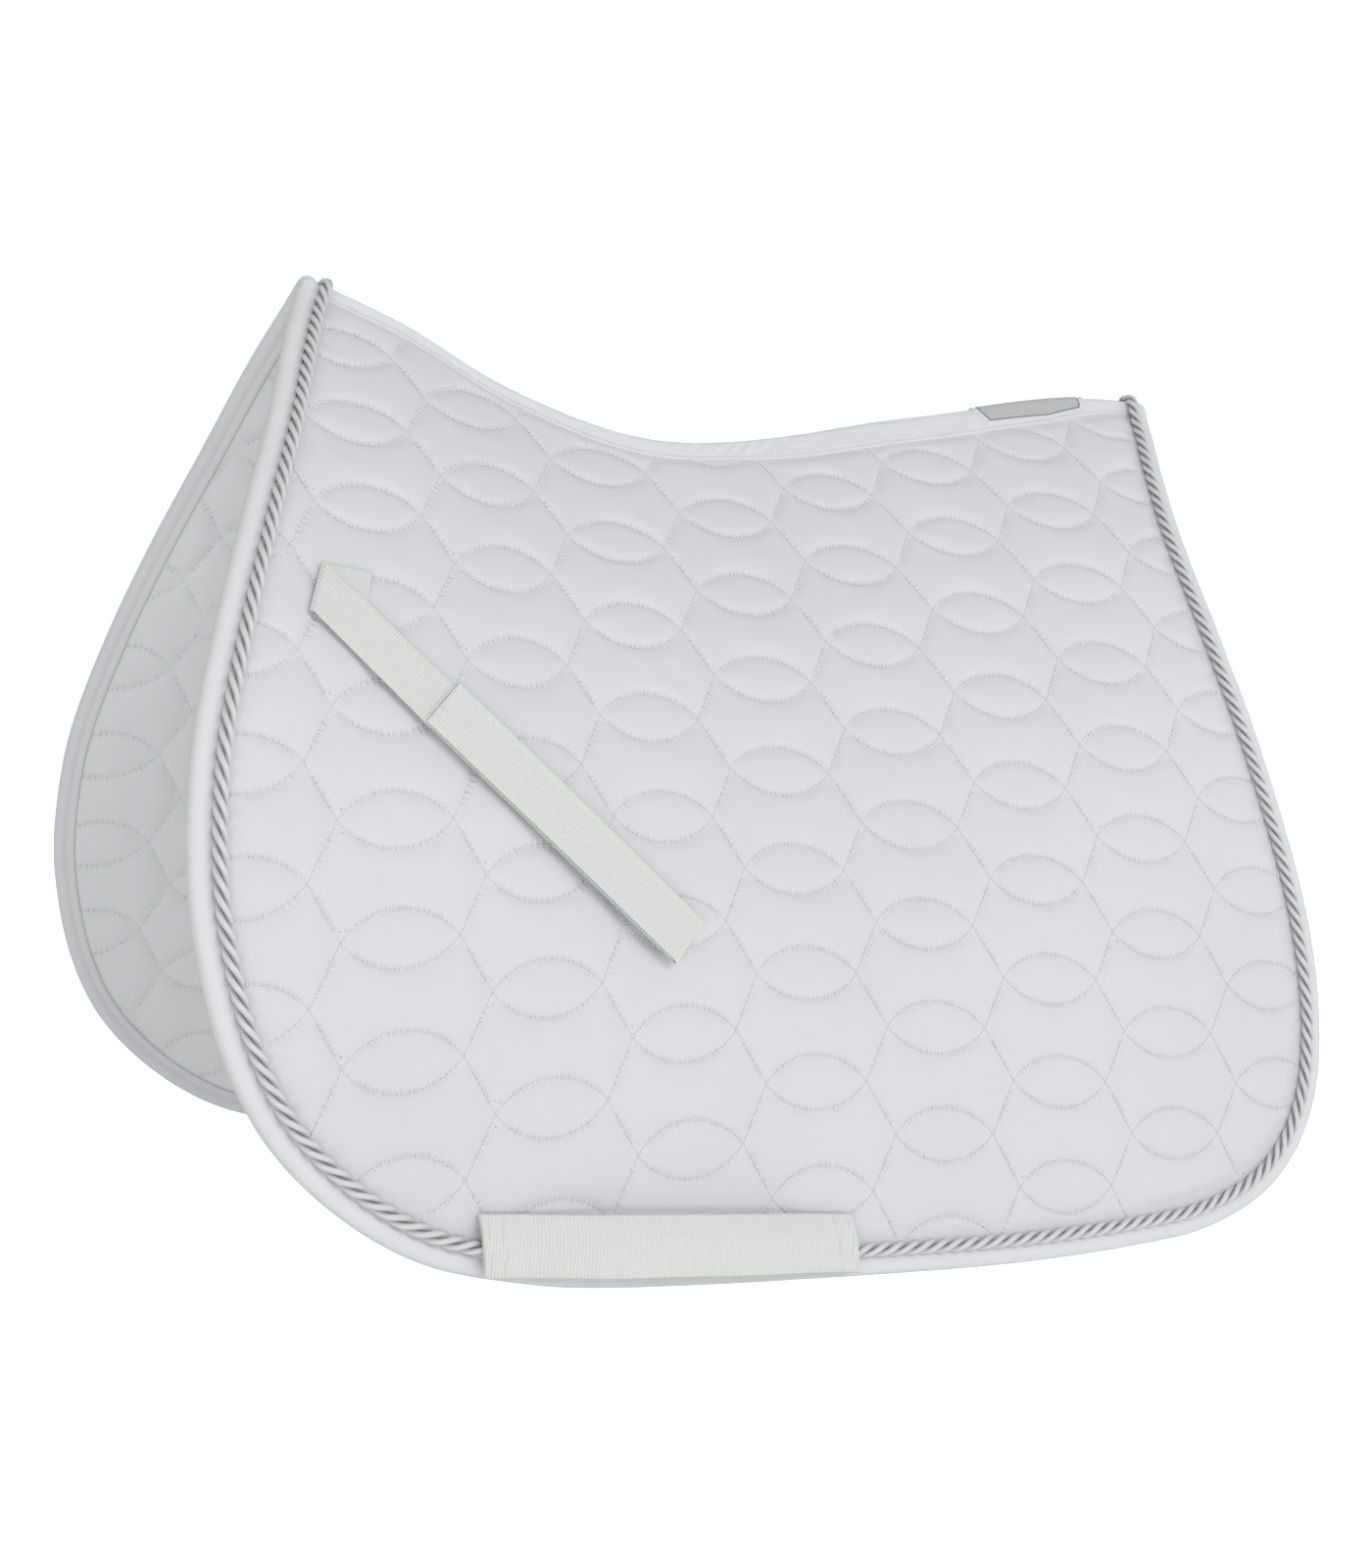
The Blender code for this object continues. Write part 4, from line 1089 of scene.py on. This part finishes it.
def webbing_finish():
    """Off-white woven webbing: fine yarns across its ribs, and a trace of shade in the grooves."""
    finish = Finish("cotton_webbing", (0.885, 0.885, 0.876), 0.70, sheen=0.12, specular=0.25)
    along, across = finish.cloth_uv()
    rib = finish.wave(along, RIB_PITCH, "COSINE")
    stagger = finish.math("MULTIPLY", finish.math("SIGN", rib), math.pi / 2)
    yarn = finish.wave(across, 1.1 * MM, "COSINE", stagger)
    fine = finish.noise(1300.0, 2.0)
    finish.bump(finish.math("ADD", finish.math("MULTIPLY", yarn, 0.7), fine), 0.09 * MM, 0.7)
    finish.tint(finish.math("MULTIPLY_ADD", rib, 0.28, finish.math("MULTIPLY", fine, 0.8)), 0.84, 1.04)
    return finish.material


def pile_finish():
    finish = Finish("pile_tape", (0.80, 0.80, 0.79), 0.85, sheen=0.3, specular=0.2)
    hooks = finish.add("TexVoronoi", {"Vector": finish.position(), "Scale": 1100.0}).outputs["Distance"]
    finish.bump(hooks, 0.3 * MM, 0.8)
    finish.tint(hooks, 0.85, 1.05)
    return finish.material


def badge_finish():
    """Finely woven silver-grey label."""
    finish = Finish("woven_label", (0.60, 0.60, 0.605), 0.45, sheen=0.1, specular=0.5)
    along, down = finish.cloth_uv()
    weave = finish.math("MULTIPLY", finish.wave(along, 0.8 * MM), finish.wave(down, 0.6 * MM))
    finish.bump(weave, 0.06 * MM, 0.7)
    finish.tint(finish.noise(700.0), 0.9, 1.08)
    return finish.material


def cord_finish():
    """Satin strands: fine fibres that run along each one, and painted shade between the strands."""
    finish = Finish("silver_cord", (0.76, 0.765, 0.78), 0.30, sheen=0.05, specular=0.8)
    along, around = finish.cloth_uv()
    slope = finish.math("ADD", around, finish.math("MULTIPLY", along, 90.0))
    fibre = finish.math("SINE", finish.math("MULTIPLY", slope, 16.0))
    finish.bump(finish.math("ADD", fibre, finish.noise(1400.0, 2.0)), 0.06 * MM, 0.6)
    # painted shade: the strands darker where they face in towards each other
    crest = {"Value": finish.fact("crest"), "From Min": -0.2, "From Max": 0.6}
    finish.tint(finish.add("MapRange", crest).outputs[0], (0.62, 0.62, 0.63), 1.03)
    return finish.material


def thread_finish(name, colour, roughness, sheen, specular, low, high):
    """Sewing thread, and the label's edging."""
    finish = Finish(name, colour, roughness, sheen=sheen, specular=specular)
    fine = finish.noise(1500.0, 2.0)
    finish.bump(fine, 0.05 * MM, 0.6)
    finish.tint(fine, low, high)
    return finish.material


# ---- Scene

def quilt_pieces():
    """The quilted panel, its seams and its edge."""
    flat_edge, rounded = Edge(False), Edge(True)
    yield ("quilted_shell", "ridge", quilt_face(flat_edge, SHELL_CELL, "shell"), "cotton",
        ("{}_shell", "{}_wadding"), "cotton", 0.55)
    yield ("quilted_lining", "ridge", quilt_face(flat_edge, LINING_CELL, "lining"), "lining",
        ("{}_lining",), "lining", 0.5)
    yield "quilting_outer", "ridge", quilt_stitches(flat_edge, 18.5 * MM, STITCH_HEIGHT, 1), "thread"
    inner_height = LINING_SEAT - 0.25 * MM
    yield "quilting_inner", "ridge", quilt_stitches(flat_edge, 14.0 * MM, inner_height, -1), "thread"
    nodes = ("{}_edge_binding", "spine_front_binding", "spine_rear_binding")
    yield "binding", "ridge", edge_binding(rounded), "binding", nodes, "cotton"
    nodes = ("{}_rope_trim", "spine_front_rope", "spine_rear_rope")
    yield "rope", "ridge", rope(rounded), "rope", nodes


def spine_pieces():
    """One side's half of the pieces over the spine."""
    nodes = ("spine_tape_outer", "spine_seam_edges")
    yield "spine_tape", "ridge", spine_tape(True), "tape", nodes, "cotton"
    yield "spine_lining_tape", "ridge", spine_tape(False), "tape", ("spine_tape_inner",), "cotton"
    yield "spine_tape_seam", "ridge", tape_seam(), "thread"
    plates = (
        ("badge_rim", BADGE_RIM, 1.2 * MM, 2.7 * MM, 1.0 * MM, "tape", ("badge_base",)),
        ("badge_edging", BADGE_EDGING, 2.0 * MM, 2.95 * MM, 0.0, "edging", ()),
        ("badge_face", BADGE_FACE, 2.2 * MM, 3.25 * MM, 0.0, "badge", ("badge_face",)),
    )
    for name, outline, low, high, rim, finish, nodes in plates:
        slot = "badge_rim" if rim else "badge_face"
        yield name, "ridge", badge_plate(outline, low, high, rim), finish, nodes, slot


def strap_pieces():
    strap = Strap()
    end, width = STUB_TOP_LENGTH, WEBBING_WIDTH
    stub_seam = joined([
        band_seam(strap.stub, (end - a, 2 * MM), (end - a, width - 1.5 * MM), STUB_THICK + 0.15 * MM)
        for a in (3.2 * MM, 6.0 * MM)
    ])
    box = box_seam(strap.stub, (3 * MM, end - 3 * MM), (3 * MM, width - 3 * MM), BOX_STITCH_HEIGHT, 2.8 * MM)
    yield "strap_stub", "flap", webbing(strap.stub, end, width, STUB_THICK), "webbing", ("{}_strap_stub",)
    yield "stub_seam", "flap", stub_seam, "thread"
    yield "box_stitching", "flap", box, "thread", ("{}_stub_stitching",)

    length = strap.first + strap.second
    tape = strap.second - 2 * PILE_MARGIN
    loop = strap.flat(LOOP_LEVEL, PILE_WIDTH, PILE_MARGIN)
    body = webbing(strap.strap, length, width, WEBBING_THICK, fold=True)
    yield "strap", "strap", body, "webbing", ("{}_strap_webbing",)
    yield "strap_fold", "strap", strap.fold(), "webbing"
    yield "loop_tape", "strap", pile(loop, tape, PILE_WIDTH, 41), "pile_tape", ("{}_strap_loop_tape",)

    around = strap.second + math.pi * (TAIL_LEVEL - TIP_LEVEL + WEBBING_THICK / 2)
    hook = strap.flat(HOOK_LEVEL, PILE_WIDTH, PILE_MARGIN)
    top = WEBBING_THICK + 0.15 * MM
    edge = TAIL_SMOOTH
    tail_seam = joined([
        band_seam(strap.tail, (3.0 * MM, 3.0 * MM), (3.0 * MM, TAIL_WIDTH - 3.0 * MM), top),
        band_seam(strap.tail, (4.0 * MM, edge), (strap.second - 4 * MM, edge), top + 0.1 * MM, 3.2 * MM),
    ])
    body = webbing(strap.tail, around, TAIL_WIDTH, WEBBING_THICK, smooth_band=TAIL_SMOOTH)
    yield "tail", "tail", body, "webbing", ("{}_strap_tail",)
    yield "tail_seam", "tail", tail_seam, "thread"
    yield "hook_tape", "tail", pile(hook, tape, PILE_WIDTH, 42), "pile_tape", ("{}_tail_hook_tape",)


def keeper_pieces():
    band = webbing(keeper, KEEPER_LENGTH, KEEPER_DEPTH, KEEPER_THICK, hem=KEEPER_HEM, seams=KEEPER_SEAMS)
    yield "girth_band", "flap", band, "webbing", ("{}_girth_keeper",)
    for end in ("front", "rear"):
        def from_end(along):
            return along if end == "front" else KEEPER_LENGTH - along

        def under(along, across, height):
            return keeper(from_end(along), across, height - 1.0 * MM)

        hem = webbing(under, KEEPER_HEM, KEEPER_DEPTH, 0.8 * MM, 0.6)
        seam = joined([
            band_seam(keeper, (a, 1.8 * MM), (a, KEEPER_DEPTH - 1.2 * MM), KEEPER_THICK + 0.50 * MM)
            for a in map(from_end, KEEPER_SEAMS)
        ])
        yield f"girth_{end}_hem", "flap", hem, "webbing", (f"{{}}_keeper_{end}_hem",)
        yield f"girth_{end}_stitching", "flap", seam, "thread", (f"{{}}_keeper_{end}_stitching",)


def dress(finishes, side, name, body, mesh, finish, nodes=(), slot=None, fill=None):
    """Makes one side's piece, on a body or bent over the ridge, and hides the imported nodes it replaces."""
    obj = piece(f"{side}_{name}", side, finishes[finish], *mesh)
    if body == "ridge":
        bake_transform(obj)
    else:
        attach(obj, f"{side}_{body}")
    if nodes:
        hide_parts(*(node.format(side) for node in nodes))
    slot or finish


def aimed(name, data, place, target):
    """A camera or light that looks from a place at a target."""
    obj = bpy.data.objects.new(name, data)
    bpy.context.scene.collection.objects.link(obj)
    obj.location = place
    obj.rotation_mode = "QUATERNION"
    obj.rotation_quaternion = (Vector(target) - Vector(place)).to_track_quat("-Z", "Y")
    return obj


def camera():
    data = bpy.data.cameras.new("camera")
    data.lens = CAMERA_LENS
    data.clip_start, data.clip_end = 0.01, 50
    azimuth, elevation = CAMERA_TURN
    cos = math.cos(elevation)
    back = Vector((math.sin(azimuth) * cos, -math.cos(azimuth) * cos, math.sin(elevation)))
    target = Vector(CAMERA_TARGET)
    bpy.context.scene.camera = aimed("camera", data, target + back * CAMERA_DISTANCE, target)


def area_light(name, place, size, power):
    data = bpy.data.lights.new(name, "AREA")
    data.shape = "RECTANGLE"
    data.size, data.size_y = size
    data.energy = power
    aimed(name, data, place, LIGHT_TARGET)


def studio():
    camera()
    floor_z = cad_box[0].z - 2 * MM
    floor = bpy.data.objects.new("floor", bpy.data.meshes.new("floor"))
    corners = [(x * FLOOR_REACH, y * FLOOR_REACH, floor_z) for x, y in ((-1, -1), (1, -1), (1, 1), (-1, 1))]
    floor.data.from_pydata(corners, [], [(0, 1, 2, 3)])
    finish = Finish("white_floor", (0.85, 0.85, 0.85), 0.9)
    finish.shader.inputs["Emission Color"].default_value = (1, 1, 1, 1)
    seen = finish.add("LightPath").outputs["Is Camera Ray"]
    finish.link("Emission Strength", finish.math("MULTIPLY_ADD", seen, 1.1, 0.12))
    floor.data.materials.append(finish.material)
    bpy.context.scene.collection.objects.link(floor)

    world = bpy.data.worlds.new("studio")
    bpy.context.scene.world = world
    world.use_nodes = True
    nodes, links = world.node_tree.nodes, world.node_tree.links
    background = nodes["Background"]
    background.inputs["Color"].default_value = (1, 1, 1, 1)
    path = nodes.new("ShaderNodeLightPath")
    scale = nodes.new("ShaderNodeMapRange")
    scale.inputs["To Min"].default_value = 0.46
    scale.inputs["To Max"].default_value = 1.05
    links.new(path.outputs["Is Camera Ray"], scale.inputs["Value"])
    links.new(scale.outputs[0], background.inputs["Strength"])

    area_light("key", (-1.45, -2.5, -0.34), (1.6, 0.26), 11)
    area_light("front", (0.3, -2.4, 0.9), (1.6, 0.8), 16)
    area_light("fill", (1.7, -1.9, 0.0), (1.2, 1.2), 4)
    bpy.context.scene.view_settings.view_transform = "Standard"


def build():
    finishes = {
        "cotton": cotton("cotton_twill", (0.785, 0.795, 0.82), True),
        # painted light: the lining is the shell's cotton, given a lighter colour than the shell's to make up
        # for the shade it lies in between the flaps
        "lining": cotton("lining_cotton", (0.92, 0.921, 0.93), True),
        "binding": cotton("cotton_binding", (0.82, 0.83, 0.85), False),
        "tape": cotton("cotton_tape", (0.81, 0.82, 0.845), False),
        "rope": cord_finish(),
        "thread": thread_finish("sewing_thread", (0.96, 0.965, 0.975), 0.45, 0.15, 0.5, 0.95, 1.03),
        "webbing": webbing_finish(),
        "pile_tape": pile_finish(),
        "badge": badge_finish(),
        "edging": thread_finish("label_edging", (0.20, 0.20, 0.21), 0.6, 0.1, 0.35, 0.8, 1.3),
    }
    made = [*quilt_pieces(), *spine_pieces(), *strap_pieces(), *keeper_pieces()]
    for side in SIDES:
        for one in made:
            dress(finishes, side, *one)


build()
studio()
